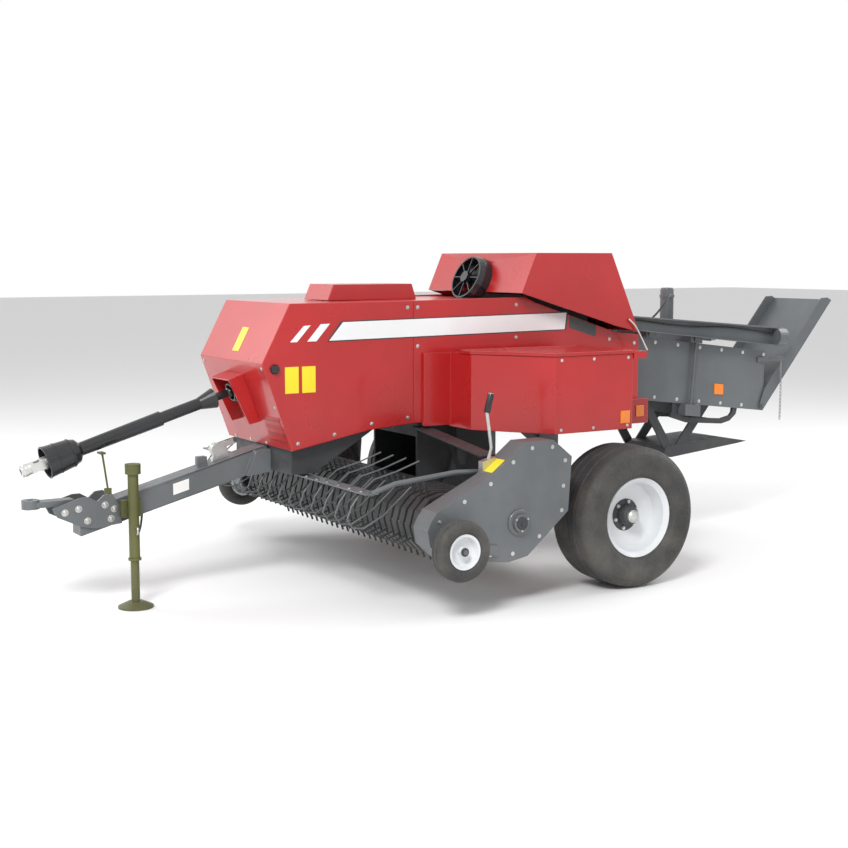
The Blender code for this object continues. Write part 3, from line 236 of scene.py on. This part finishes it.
def turned(profile, centre, axis, steps):
    """Points and faces of a profile of (along, radius) pairs carried round an axis: each point is
    centre + along * axis + radius * (cos(angle) * side + sin(angle) * other)."""
    profile = np.asarray(profile, float)
    side, other, axis = frame_of(axis)
    angle = np.linspace(0, TAU, steps, endpoint=False)
    ring = np.cos(angle)[:, None] * side + np.sin(angle)[:, None] * other
    points = centre + profile[:, 0, None, None] * axis + profile[:, 1, None, None] * ring[None]
    points = points.reshape(-1, 3)
    faces = grid_faces(len(profile), steps, around=True, along=True)
    return points, facing(points, faces)


def smoothed(points, count):
    """Points evenly spread on a smooth curve (Catmull-Rom) through a route's own points."""
    p = np.asarray(points, float)
    p = np.vstack([2 * p[0] - p[1], p, 2 * p[-1] - p[-2]])
    t = np.linspace(0, len(p) - 3 - 1e-9, count)
    k = t.astype(int)
    f = (t - k)[:, None]
    a, b, c, d = p[k], p[k + 1], p[k + 2], p[k + 3]
    return 0.5 * (2 * b + (c - a) * f + (2 * a - 5 * b + 4 * c - d) * f ** 2
                  + (3 * b - a - 3 * c + d) * f ** 3)


def tube(path, radius, sides=10, closed=False):
    """Points and faces of a round bar: a circle of that radius carried along a path, square to it, with its
    first direction kept as near as can be from point to point; open ends draw in to a tiny ring."""
    path = np.asarray(path, float)
    if closed:
        ahead = np.roll(path, -1, 0) - np.roll(path, 1, 0)
    else:
        ahead = np.gradient(path, axis=0)
    ahead /= np.linalg.norm(ahead, axis=1)[:, None]
    normal = np.empty_like(path)
    normal[0] = frame_of(ahead[0])[0]
    for k in range(1, len(path)):
        n = normal[k - 1] - ahead[k] * (normal[k - 1] @ ahead[k])
        normal[k] = n / np.linalg.norm(n)
    other = np.cross(ahead, normal)
    size = np.broadcast_to(np.asarray(radius, float), (len(path),))
    if not closed:
        path = np.vstack([path[:1], path, path[-1:]])
        normal, other = (np.vstack([v[:1], v, v[-1:]]) for v in (normal, other))
        size = np.concatenate([[1e-5], size, [1e-5]])
    angle = np.linspace(0, TAU, sides, endpoint=False)
    points = path[:, None] + size[:, None, None] * (np.cos(angle)[None, :, None] * normal[:, None]
                                                    + np.sin(angle)[None, :, None] * other[:, None])
    points = points.reshape(-1, 3)
    faces = grid_faces(len(path), sides, around=True, along=closed)
    return points, facing(points, faces)


def repeated(shape, places, axes):
    """One set of points and faces with a copy of the shape at each place, its own z axis along each axis."""
    points, faces = shape
    turns = np.stack([frame_of(a) for a in axes])
    copies = np.einsum("pk,nkj->npj", points, turns) + np.asarray(places, float)[:, None]
    offsets = np.arange(len(turns))[:, None, None] * len(points)
    return copies.reshape(-1, 3), (faces[None] + offsets).reshape(-1, 4)


def joined(shapes):
    """Several sets of points and faces as one."""
    starts = np.cumsum([0] + [len(p) for p, _ in shapes[:-1]])
    return np.vstack([p for p, _ in shapes]), np.vstack([f + s for (_, f), s in zip(shapes, starts)])


def plate(corners, normal, thick, lift=0.0005):
    """A thin four-cornered plate: its corners raised by lift along the normal, and by its thickness on top,
    with the upper face drawn in by two fifths of the thickness for a soft edge."""
    corners = np.asarray(corners, float)
    normal = np.asarray(normal, float) / np.linalg.norm(normal)
    middle = corners.mean(0)
    inward = middle - corners
    inward /= np.linalg.norm(inward, axis=1)[:, None]
    low = corners + normal * lift
    mid = low + normal * thick * 0.6
    top = low + normal * thick + inward * thick * 0.4
    points = np.vstack([low, mid, top])
    faces = np.vstack([grid_faces(3, 4, around=True), [[3, 2, 1, 0], [8, 9, 10, 11]]])
    return points, facing(points, faces)


def bolt(head=0.009, high=0.007, flange=0.0125):
    """A domed bolt head on a washer, standing on z = 0: a profile carried round z."""
    profile = [(-0.001, 0.0001), (-0.001, flange), (0.0018, flange), (0.0022, head),
               (high * 0.7, head * 0.92), (high * 0.95, head * 0.55), (high, 0.0001)]
    return turned(profile, np.zeros(3), (0, 0, 1), 12)


def nut(across=0.012, high=0.010):
    """A six-sided nut standing on z = 0, with the pin's end proud of it."""
    profile = [(-0.001, 0.0001), (-0.001, across), (high * 0.85, across), (high, across * 0.88),
               (high, across * 0.5), (high * 1.35, across * 0.45), (high * 1.4, 0.0001)]
    return turned(profile, np.zeros(3), (0, 0, 1), 6)


def outward(profile, sign, centre, steps):
    """A profile of (along, radius) pairs carried round the sideways axis, along pointing out on each side."""
    return turned(np.array(profile) * (sign, 1), centre, (1, 0, 0), steps)


def fasteners(name, shape, places, axis, body, smooth=True):
    """One zinc piece: a copy of the shape at each place, standing along the axis."""
    return piece(name, *repeated(shape, places, [axis] * len(places)), "zinc_steel", body, smooth=smooth)


# ---- wheels ------------------------------------------------------------------------------------------

def wheel(side, sign):
    """Tyre, rim, hub and nuts, each a profile carried round the axle. With u from -1 to 1 across the tread,
    its radius is a base plus a crown of (1 - u squared), less three grooves, each a depth times e to the
    minus fourth power of (u - the groove's place) over the groove's half width."""
    centre = at(sign * WHEEL_X, 0, WHEEL_Z)
    body = f"wheel_{side}"
    u = np.linspace(-1, 1, 61)
    crown = 0.389 + 0.0045 * (1 - u ** 2)
    grooves = sum(0.011 * np.exp(-((u - g) / 0.055) ** 4) for g in (-0.52, 0.0, 0.52))
    tread = np.stack([u * 0.118, crown - grooves], 1)
    wall = np.array([(0.134, 0.3835), (0.147, 0.372), (0.155, 0.360), (0.1585, 0.357), (0.164, 0.345),
                     (0.1685, 0.325), (0.1708, 0.300), (0.1705, 0.280), (0.166, 0.262), (0.1665, 0.258),
                     (0.160, 0.246), (0.150, 0.236), (0.140, 0.229), (0.132, 0.224), (0.122, 0.2215),
                     (0.1195, 0.214), (0.119, 0.202)])
    left = wall * np.array([-1, 1])
    profile = np.vstack([left[::-1], tread, wall])
    piece(f"tyre_{side}", *turned(profile, centre, (1, 0, 0), 120), "tyre_rubber", body,
          replaces=(f"main_tyre_{side}",))
    lip = [(0.1345, 0.2165), (0.137, 0.2195), (0.135, 0.2225), (0.131, 0.223), (0.126, 0.2205),
           (0.1225, 0.214), (0.121, 0.2015), (0.100, 0.1985), (0.060, 0.1905), (0.040, 0.1900),
           (0.010, 0.1905), (-0.060, 0.1985),
           (-0.1210, 0.2015), (-0.1225, 0.214), (-0.126, 0.2205), (-0.131, 0.2230), (-0.135, 0.2220),
           (-0.1340, 0.2150), (-0.1260, 0.2080), (-0.1210, 0.1950), (-0.0600, 0.1900), (0.0100, 0.1830),
           (0.0240, 0.1720), (0.0230, 0.1500), (0.0140, 0.1100), (0.0100, 0.0780), (0.0100, 0.0620)]
    dish = [(0.0160, 0.0620), (0.0165, 0.0780), (0.0205, 0.1100), (0.0300, 0.1500), (0.0320, 0.1660),
            (0.0380, 0.1780), (0.0520, 0.1840), (0.0800, 0.1890), (0.1150, 0.1950), (0.1260, 0.2080)]
    piece(f"rim_{side}", *outward(lip + dish, sign, centre, 96), "rim_silver",
          body, replaces=(f"main_rim_{side}",))
    hub = [(-0.060, 0.0305), (-0.060, 0.050), (0.006, 0.055), (0.008, 0.090), (0.018, 0.091), (0.022, 0.060),
           (0.070, 0.052), (0.076, 0.046), (0.078, 0.0305)]
    piece(f"hub_{side}", *outward(hub, sign, centre, 48), "dark_steel", body)
    cap = [(0.070, 0.0001), (0.070, 0.036), (0.092, 0.036), (0.097, 0.030), (0.103, 0.026), (0.108, 0.014),
           (0.109, 0.0001)]
    piece(f"hub_cap_{side}", *outward(cap, sign, centre, 32), "zinc_steel", body)
    angle = np.linspace(0, TAU, 6, endpoint=False) + 0.3
    places = centre + np.stack([np.full(6, sign * 0.0185), 0.075 * np.cos(angle), 0.075 * np.sin(angle)], 1)
    fasteners(f"wheel_nuts_{side}", nut(0.0115, 0.013), places, (sign, 0, 0), body, smooth=False)


def gauge_wheel(side, sign):
    """The pickup's small wheel: tyre, dished rim and capped bearing, each a profile carried round its axle.
    With u from -1 to 1 across the tread, its radius is a base less a fourth power of u, less a groove on each
    side: a depth times e to the minus fourth power of (size of u - a half) over the groove's half width."""
    centre = at(sign * GAUGE_X, GAUGE_Y, GAUGE_Z)
    body = f"gauge_wheel_{side}"
    u = np.linspace(-1, 1, 31)
    grooves = 0.0035 * np.exp(-((np.abs(u) - 0.5) / 0.06) ** 4)
    tread = np.stack([u * 0.034, 0.1565 - 0.006 * u ** 4 - grooves], 1)
    wall = np.array([(0.043, 0.145), (0.048, 0.132), (0.050, 0.120), (0.049, 0.108), (0.044, 0.098),
                     (0.038, 0.094), (0.0362, 0.0805)])
    profile = np.vstack([(wall * np.array([-1, 1]))[::-1], tread, wall])
    piece(f"small_tyre_{side}", *turned(profile, centre, (1, 0, 0), 72), "tyre_rubber", body,
          replaces=(f"gauge_tyre_{side}",))
    rim = [(0.0405, 0.0880), (0.0410, 0.0900), (0.0380, 0.0905), (0.0365, 0.0800), (-0.0365, 0.0800),
           (-0.0380, 0.0905), (-0.0410, 0.0900), (-0.0400, 0.0760), (-0.0100, 0.0720), (-0.0040, 0.0500),
           (-0.0060, 0.0260), (-0.0330, 0.0240), (-0.0330, 0.0125), (0.0330, 0.0125), (0.0330, 0.0240),
           (0.0080, 0.0260), (0.0030, 0.0500), (0.0060, 0.0680), (0.0180, 0.0740), (0.0380, 0.0770)]
    piece(f"small_rim_{side}", *outward(rim, sign, centre, 56), "rim_silver", body,
          replaces=(f"gauge_rim_{side}",))
    cap = [(0.034, 0.0001), (0.034, 0.022), (0.040, 0.022), (0.043, 0.016), (0.0435, 0.0001)]
    piece(f"small_hub_{side}", *outward(cap, sign, centre, 24), "dark_steel", body)


for sign, side in SIDES:
    wheel(side, sign)
    gauge_wheel(side, sign)


# ---- covers: stripe, labels, bolts, latches ----------------------------------------------------------

def side_plate(name, yz, sign, x, look, thick=0.0012, body="frame"):
    """A thin plate on a face that looks sideways, from four (y, z) corners."""
    corners = [at(sign * x, y, z) for y, z in yz]
    return piece(name, *plate(corners, (sign, 0, 0), thick), look, body, smooth=False)


def oblong(front, rear, low, high):
    """The (y, z) corners of an upright oblong."""
    return [(front, low), (rear, low), (rear, high), (front, high)]


STRIPE_FRONT, STRIPE_REAR = -1.424, 0.078


def band(front, rear, low=(1.377, 1.392), high=(1.474, 1.495), lean=0.085):
    """Corners of a leaning band between two places along the cover, following the stripe's slight rise."""
    rise = (high[1] - high[0]) / (STRIPE_REAR - STRIPE_FRONT)
    ahead, behind = rise * (front - STRIPE_FRONT), rise * (rear - STRIPE_FRONT)
    top = high[0] + ahead, high[0] + behind
    foot = low[0] + ahead, low[0] + behind
    return [(front - lean, foot[0]), (rear - lean * 0.15, foot[1]), (rear, top[1]), (front, top[0])]


for sign, side in SIDES:
    side_plate(f"stripe_edge_{side}", band(-1.436, 0.090, (1.371, 1.386), (1.480, 1.501)), sign, COVER_X,
               "stripe_edge", 0.0006)
    side_plate(f"stripe_{side}", band(STRIPE_FRONT, STRIPE_REAR), sign, COVER_X, "white_stripe", 0.0012)
    side_plate(f"stripe_bar_a_{side}", [(-1.740, 1.375), (-1.700, 1.375), (-1.619, 1.462), (-1.659, 1.459)],
               sign, COVER_X, "white_stripe")
    side_plate(f"stripe_bar_b_{side}", [(-1.640, 1.376), (-1.585, 1.376), (-1.503, 1.468), (-1.558, 1.466)],
               sign, COVER_X, "white_stripe")
    for k, y in enumerate((-1.772, -1.672)):
        side_plate(f"label_{side}_{k}", oblong(y, y + 0.080, 1.105, 1.245), sign, COVER_X, "yellow_label",
                   0.0008)
    knob = [(-0.002, 0.0001), (-0.002, 0.026), (0.010, 0.026), (0.020, 0.020), (0.024, 0.0001)]
    piece(f"cover_knob_{side}", *outward(knob, sign, at(sign * COVER_X, -1.832, 1.237), 24),
          "black_plastic", "frame")
    seams = [(-0.287, 1.548), (-0.287, 1.359), (0.405, 1.330), (-0.955, 1.545), (-0.955, 1.330),
             (0.600, 1.300), (-1.020, 1.545), (-1.020, 0.935), (-1.250, 0.915), (-1.480, 0.870),
             (-1.700, 0.835)]
    places = [at(sign * COVER_X, y, z) for y, z in seams]
    fasteners(f"cover_bolts_{side}", bolt(0.0075, 0.005, 0.011), places, (sign, 0, 0), "frame")
    side_plate(f"cover_vent_{side}", [(0.10, 1.405), (0.30, 1.345), (0.30, 1.415), (0.10, 1.475)], sign,
               COVER_X, "perforated_dark", 0.0008)
    latch = [at(sign * 0.518, 0.464, 1.453), at(sign * 0.522, 0.520, 1.400), at(sign * 0.516, 0.614, 1.262)]
    piece(f"hood_latch_{side}", *tube(smoothed(latch, 16), 0.006, 8), "zinc_steel", "hood")


NOSE_OUT = np.array([0, -0.940, -0.341])


def nose_spot(x, t):
    """A place on the nose's lower face, where t runs from 0 at its upper edge to 1 at its foot."""
    return at(x, -1.903 + 0.171 * t, 1.267 - 0.472 * t)


piece("nose_label", *plate([at(-0.02, -1.878, 1.315), at(0.06, -1.878, 1.315), at(0.06, -1.812, 1.440),
                            at(-0.02, -1.812, 1.440)], (0, -0.885, 0.466), 0.0008), "yellow_label", "frame",
      smooth=False)
grille = [nose_spot(x, t) for x, t in ((0.18, 0.62), (0.38, 0.62), (0.38, 0.95), (0.18, 0.95))]
piece("nose_grille", *plate(grille, NOSE_OUT, 0.0010), "perforated_red", "frame", smooth=False)
nose_bolts = [nose_spot(x, t) for x in (-0.38, 0.38) for t in (0.06, 0.5)]
nose_bolts += [nose_spot(x, 0.97) for x in (-0.3, -0.1, 0.1)]
fasteners("nose_bolts", bolt(0.0075, 0.005, 0.011), nose_bolts, NOSE_OUT, "frame")

for sign, side in SIDES:
    edge = [at(sign * x, y, 1.3065)
            for x, y in ((0.535, 0.062), (0.535, -0.757), (0.640, -0.757), (1.057, -0.486), (1.057, 0.062))]
    piece(f"lid_bead_{side}", *tube(np.vstack([edge, edge[:1]]), 0.004, 8), "red_paint", f"lid_{side}")
    chamber_corners = [(1.420, 0.930), (1.500, 0.922), (1.500, 0.992), (1.420, 1.000)]
    for spot, corners, x in (("box", oblong(-0.030, 0.035, 0.905, 0.975), BOX_X),
                             ("rear", oblong(0.290, 0.350, 0.900, 0.965), 0.800),
                             ("chamber", chamber_corners, CHAMBER_X)):
        side_plate(f"{spot}_reflector_{side}", corners, sign, x, "amber_reflector", 0.006)
    hinge = [at(sign * 0.524, y, 1.3000) for y in (-0.66, -0.30, 0.0)]
    knuckle = turned([(-0.035, 0.0068), (-0.035, 0.0095), (0.035, 0.0095), (0.035, 0.0068)], np.zeros(3),
                     (0, 0, 1), 16)
    fasteners(f"lid_knuckles_{side}", knuckle, hinge, (0, 1, 0), f"lid_{side}")
    rivets = [at(sign * BOX_X, y, z) for y in (-0.44, -0.22, 0.02) for z in (0.893, 1.270)]
    fasteners(f"box_bolts_{side}", bolt(0.006, 0.004, 0.009), rivets, (sign, 0, 0), "frame")


# ---- pickup: bolts, hub, label -----------------------------------------------------------------------

SHIELD_EDGE = np.array([(-1.310, 0.500), (-1.160, 0.590), (-1.000, 0.668), (-0.860, 0.770), (-0.740, 0.835),
                        (-0.610, 0.832), (-0.525, 0.755), (-0.535, 0.620), (-0.545, 0.490), (-0.690, 0.365),
                        (-0.860, 0.290), (-1.000, 0.300), (-1.160, 0.322), (-1.310, 0.345)])
for sign, side in SIDES:
    places = [at(sign * SHIELD_X, y, z) for y, z in SHIELD_EDGE]
    fasteners(f"shield_bolts_{side}", bolt(0.0075, 0.0055, 0.0115), places, (sign, 0, 0), "pickup")
    boss = [(0.0, 0.049), (0.0, 0.068), (0.006, 0.070), (0.010, 0.066), (0.012, 0.049)]
    piece(f"shield_boss_{side}", *outward(boss, sign, at(sign * SHIELD_X, REEL_Y, REEL_Z), 40),
          "grey_paint", "pickup")
    cap = [(0.0295, 0.0001), (0.0295, 0.034), (0.036, 0.032), (0.040, 0.016), (0.046, 0.014), (0.047, 0.0001)]
    piece(f"shield_cap_{side}", *outward(cap, sign, at(sign * SHIELD_X, REEL_Y, REEL_Z), 32),
          "dark_steel", "pickup")
    angle = np.array([0.5, 2.6, 4.7])
    ring = np.stack([0 * angle, 0.041 * np.cos(angle), 0.041 * np.sin(angle)], 1)
    places = at(sign * 1.2285, REEL_Y, REEL_Z) + ring
    fasteners(f"shield_hub_bolts_{side}", bolt(0.006, 0.006, 0.006), places, (sign, 0, 0), "pickup")
FLANGE_RISE = np.array([0, 0.220, 0.166])
FLANGE_RISE /= np.linalg.norm(FLANGE_RISE)
foot = [at(1.085, -0.975, 0.7196), at(1.175, -0.975, 0.7196)]
label = [foot[0], foot[1], foot[1] + FLANGE_RISE * 0.10, foot[0] + FLANGE_RISE * 0.10]
piece("flange_label", *plate(label, (0, -0.602, 0.798), 0.0008, 0.0006), "yellow_label", "pickup",
      smooth=False)

grip = [(0.0, 0.0001), (0.0, 0.0155), (0.006, 0.0175), (0.050, 0.0168), (0.094, 0.0175), (0.104, 0.0140),
        (0.108, 0.0001)]
piece("crank_grip", *turned(grip, at(1.085, -0.9475, 1.020), (0, 0.0255, 0.099), 24), "black_plastic",
      "pickup")
guard_bolts = [at(x, -1.625, 0.6475) for x in np.arange(-0.96, 0.97, 0.12)]
fasteners("windguard_bolts", bolt(0.0065, 0.006, 0.010), guard_bolts, (0, 0, 1), "windguard")


# ---- drawbar, hitch, jack, driveline -----------------------------------------------------------------

for sign, side in SIDES:
    x = sign * HITCH_X
    places = [at(x, y, z) for y, z in ((-2.862, 0.522), (-2.790, 0.535), (-2.745, 0.470), (-2.650, 0.545),
                                       (-2.601, 0.520), (-2.620, 0.470))]
    fasteners(f"hitch_bolts_{side}", bolt(0.013, 0.012, 0.019), places, (sign, 0, 0), "frame")
side_plate("drawbar_label", [(-2.270, 0.560), (-2.180, 0.583), (-2.180, 0.643), (-2.270, 0.620)], 1, 0.065,
           "white_label", 0.0008)
LOOP_ROUTE = ((0.05, -2.440, 0.480), (0.055, -2.450, 0.420), (0.035, -2.455, 0.375), (0.0, -2.455, 0.362),
              (-0.035, -2.455, 0.375), (-0.055, -2.450, 0.420), (-0.05, -2.440, 0.480))
loop = smoothed([at(*p) for p in LOOP_ROUTE], 32)
piece("drawbar_loop", *tube(loop, 0.006, 10), "dark_steel", "frame")
PIN_ROUTE = ((0.100, 0.430), (0.185, 0.430), (0.200, 0.415), (0.192, 0.395), (0.175, 0.392))
jack_pin = smoothed([at(x, JACK_Y, z) for x, z in PIN_ROUTE], 24)
piece("jack_pin", *tube(jack_pin, 0.0045, 8), "zinc_steel", "frame")
collar = [(0.0, 0.0282), (0.0, 0.034), (0.012, 0.034), (0.014, 0.0282)]
piece("jack_collar", *turned(collar, at(JACK_X, JACK_Y, 0.252), (0, 0, 1), 32), "olive_paint", "frame")

TUBE_START = at(0, -1.905, 1.090)
TUBE_RUN = np.array([0, -1.115, -0.340])
TUBE_RUN /= np.linalg.norm(TUBE_RUN)
for k, (along, radius) in enumerate(((0.935, 0.075), (1.010, 0.0805), (1.072, 0.0855))):
    ring = [(-0.004, radius - 0.003), (-0.003, radius + 0.0015), (0.003, radius + 0.0015),
            (0.004, radius - 0.003)]
    piece(f"cone_ring_{k}", *turned(ring, TUBE_START + TUBE_RUN * along, TUBE_RUN, 48), "black_plastic",
          "driveline_front")
yoke = [(0.0, 0.0185), (0.0, 0.033), (0.006, 0.0345), (0.012, 0.033), (0.018, 0.0345), (0.024, 0.031),
        (0.024, 0.0185)]
piece("yoke_collar", *turned(yoke, TUBE_START + TUBE_RUN * 1.172, TUBE_RUN, 40), "zinc_steel",
      "driveline_yoke")


# ---- chamber, chute, lamps, chain --------------------------------------------------------------------

TIE_Y = 1.245
LEAD_ROUTE = ((0.312, 0.70, 1.432), (0.316, 1.10, 1.385), (0.316, 1.50, 1.365), (0.318, 1.870, 1.318))


def chamber_height(y, offset):
    """Height of the chamber's middle line at y, which falls at an even slope to the rear, plus an offset."""
    return 1.2185 - 0.118 * y + offset


for sign, side in SIDES:
    ys = np.concatenate([np.arange(0.72, 1.86, 0.19)] * 2)
    offsets = np.repeat([0.175, -0.175], len(ys) // 2)
    places = [at(sign * CHAMBER_X, y, chamber_height(y, o)) for y, o in zip(ys, offsets)]
    fasteners(f"chamber_bolts_{side}", bolt(0.008, 0.006, 0.012), places, (sign, 0, 0), "frame")
    lens = [(0.0, 0.0001), (0.0, 0.052), (0.006, 0.051), (0.010, 0.044), (0.012, 0.0001)]
    piece(f"lamp_lens_{side}", *turned(lens, at(sign * 0.330, 1.9545, 1.296), (0, 1, 0), 40), "lamp_red",
          "frame")
    lead = smoothed([at(sign * x, y, z) for x, y, z in LEAD_ROUTE], 40)
    piece(f"lamp_lead_{side}", *tube(lead, 0.0045, 8), "black_plastic", "frame")
    tie_top = at(sign * 0.273, TIE_Y - 0.010, chamber_height(TIE_Y, 0.245))
    fasteners(f"tie_nuts_{side}", nut(0.016, 0.014), [tie_top], (0, 0, 1), "frame", smooth=False)


CHAIN_ROUTE = ((0.281, 1.996, 1.1277), (0.281, 1.996, 1.080), (0.2815, 1.997, 1.000), (0.282, 1.998, 0.900),
               (0.2815, 1.997, 0.800), (0.281, 1.996, 0.728))


def chain_links():
    """Links of the chute's chain, and its line: each link is a round bar carried round a long ring, whose
    width goes with the cosine and its length with the sine, drawn out by a steep step at each end. Every
    second link is turned a quarter round the chain's line, and the links are spread evenly along it."""
    route = smoothed([at(*p) for p in CHAIN_ROUTE], 400)
    length = np.concatenate([[0], np.cumsum(np.linalg.norm(np.diff(route, axis=0), axis=1))])
    count, half, bend, bar = 17, 0.0110, 0.0055, 0.0020
    first, both_ends = 0.014, 0.0295
    pitch = (length[-1] - both_ends) / (count - 1)
    t = np.linspace(0, TAU, 20, endpoint=False)
    across = bend * np.cos(t)
    along = bend * np.sin(t) + half * 0.75 * np.tanh(4 * np.sin(t))
    shapes = []
    for k in range(count):
        place = np.array([np.interp(first + pitch * k, length, route[:, c]) for c in range(3)])
        wide = np.array([1.0, 0, 0]) if k % 2 else np.array([0, 1.0, 0])
        outline = place + across[:, None] * wide + along[:, None] * np.array([0, 0, -1.0])
        shapes.append(tube(outline, bar, 6, closed=True))
    return joined(shapes), route


links_shape, chain_route = chain_links()
chain = piece("chain", *links_shape, "chain_link", "frame", replaces=("chute_chain",))

cylinder_band = [(0.0, 0.0445), (0.0, 0.049), (0.016, 0.049), (0.016, 0.0445)]
piece("cylinder_band", *turned(cylinder_band, at(0, CYLINDER_Y, 1.560), (0, 0, 1), 40), "grey_paint", "frame")
piece("cylinder_cap", *turned([(0.0, 0.0001), (0.0, 0.040), (0.010, 0.038), (0.012, 0.0001)],
                              at(0, CYLINDER_Y, 1.6125), (0, 0, 1), 40), "grey_paint", "frame")

CHUTE_RUN, CHUTE_OUT = np.array([0, 0.6525, 0.7578]), np.array([0, 0.7578, -0.6525])
for k, along in enumerate(np.linspace(0.18, 0.86, 4)):
    middle = at(0, 1.845, 0.8308) + CHUTE_RUN * along + CHUTE_OUT * 0.0262
    rib = [middle + np.array([s * CHAMBER_X, 0, 0]) + CHUTE_RUN * d
           for s, d in ((-1, -0.010), (1, -0.010), (1, 0.010), (-1, 0.010))]
    piece(f"chute_rib_{k}", *plate(rib, CHUTE_OUT, 0.010, 0.0002), "grey_paint", "chute", smooth=False)


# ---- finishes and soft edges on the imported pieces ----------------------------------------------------

EDGES = {"front_shield": 0.004, "side_shield_left": 0.003, "side_shield_right": 0.003, "top_deck": 0.003,
         "top_box": 0.005, "knotter_hood": 0.005, "twine_box_left": 0.004, "twine_box_right": 0.004,
         "twine_lid_left": 0.003, "twine_lid_right": 0.003, "driveline_guard": 0.003, "drawbar": 0.005,
         "hitch_plates": 0.002, "chassis": 0.003, "axle_beam": 0.004, "pickup_shield_left": 0.005,
         "pickup_shield_right": 0.005, "bale_chute": 0.002, "gearbox_and_flywheel": 0.004}
slot_of_node = {part["node"]: part["material_slot"] for part in frame["record"]["subparts"]}
for name, obj in frame["nodes"].items():
    obj.data.materials.clear()
    obj.data.materials.append(FINISHES[slot_of_node[name]])
    if name in EDGES:
        weld = obj.modifiers.new("weld", "WELD")
        weld.merge_threshold = 1e-5
        soft = obj.modifiers.new("soft_edges", "BEVEL")
        soft.width = EDGES[name]
        soft.segments = 2
        soft.limit_method = "ANGLE"
        soft.angle_limit = math.radians(35)
        soft.harden_normals = False


# ---- floor, light, camera ----------------------------------------------------------------------------

FLOOR_HALF, FLOOR_LINES = 60, 25
CAMERA_PLACE = (7.056, -4.7298, 1.8099)
CAMERA_DROP, CAMERA_HEADING = 6.695, 58.262
LIGHT_STRENGTH, SEEN_STRENGTH = 0.70, 1.0


def make_floor():
    """A pale flat floor: height is zero over a square grid."""
    line = np.linspace(-FLOOR_HALF, FLOOR_HALF, FLOOR_LINES)
    u, v = np.meshgrid(line, line, indexing="ij")
    points = np.stack([u.ravel(), v.ravel(), np.zeros(u.size)], 1)
    mesh = bpy.data.meshes.new("floor")
    faces = grid_faces(FLOOR_LINES, FLOOR_LINES, around=False)
    mesh.from_pydata(points.tolist(), [], faces.tolist())
    material = bpy.data.materials.new("floor")
    material.use_nodes = True
    tree = material.node_tree
    shader = tree.nodes["Principled BSDF"]
    shader.inputs["Base Color"].default_value = (0.86, 0.86, 0.86, 1)
    shader.inputs["Roughness"].default_value = 0.8
    mesh.materials.append(material)
    floor = bpy.data.objects.new("floor", mesh)
    bpy.context.scene.collection.objects.link(floor)


def lamp(name, place, aim, size, power):
    """A round area light that looks from its place at the aim."""
    data = bpy.data.lights.new(name, "AREA")
    data.shape = "DISK"
    data.size = size
    data.energy = power
    obj = bpy.data.objects.new(name, data)
    obj.location = place
    direction = np.asarray(aim, float) - np.asarray(place, float)
    obj.rotation_euler = Vector(direction).to_track_quat("-Z", "Y").to_euler()
    bpy.context.scene.collection.objects.link(obj)


make_floor()
lamp("key", (6.5, -7.0, 8.5), (0, 0, 0.8), 3.5, 950)
lamp("fill", (-6.0, -6.5, 5.0), (0, 0, 0.8), 5.0, 330)
lamp("back", (1.0, 8.0, 6.0), (0, 0, 1.0), 5.0, 330)
world = bpy.data.worlds.new("sky")
bpy.context.scene.world = world
world.use_nodes = True
sky = world.node_tree.nodes["Background"]
sky.inputs["Color"].default_value = (1, 1, 1, 1)
sight = world.node_tree.nodes.new("ShaderNodeLightPath")
seen = sight.outputs["Is Camera Ray"]
for kind in ("Is Glossy Ray", "Is Transmission Ray"):
    either = world.node_tree.nodes.new("ShaderNodeMath")
    either.operation = "MAXIMUM"
    world.node_tree.links.new(seen, either.inputs[0])
    world.node_tree.links.new(sight.outputs[kind], either.inputs[1])
    seen = either.outputs[0]
strength = world.node_tree.nodes.new("ShaderNodeMapRange")
strength.inputs["To Min"].default_value = LIGHT_STRENGTH
strength.inputs["To Max"].default_value = SEEN_STRENGTH
world.node_tree.links.new(seen, strength.inputs["Value"])
world.node_tree.links.new(strength.outputs["Result"], sky.inputs["Strength"])

camera_data = bpy.data.cameras.new("camera")
camera_data.sensor_width = 36.0
camera_data.lens = 59.665
camera_data.clip_end = 200
camera = bpy.data.objects.new("camera", camera_data)
camera.location = CAMERA_PLACE
camera.rotation_euler = (math.radians(90 - CAMERA_DROP), 0, math.radians(CAMERA_HEADING))
bpy.context.scene.collection.objects.link(camera)
bpy.context.scene.camera = camera
bpy.context.scene.view_settings.view_transform = "Standard"
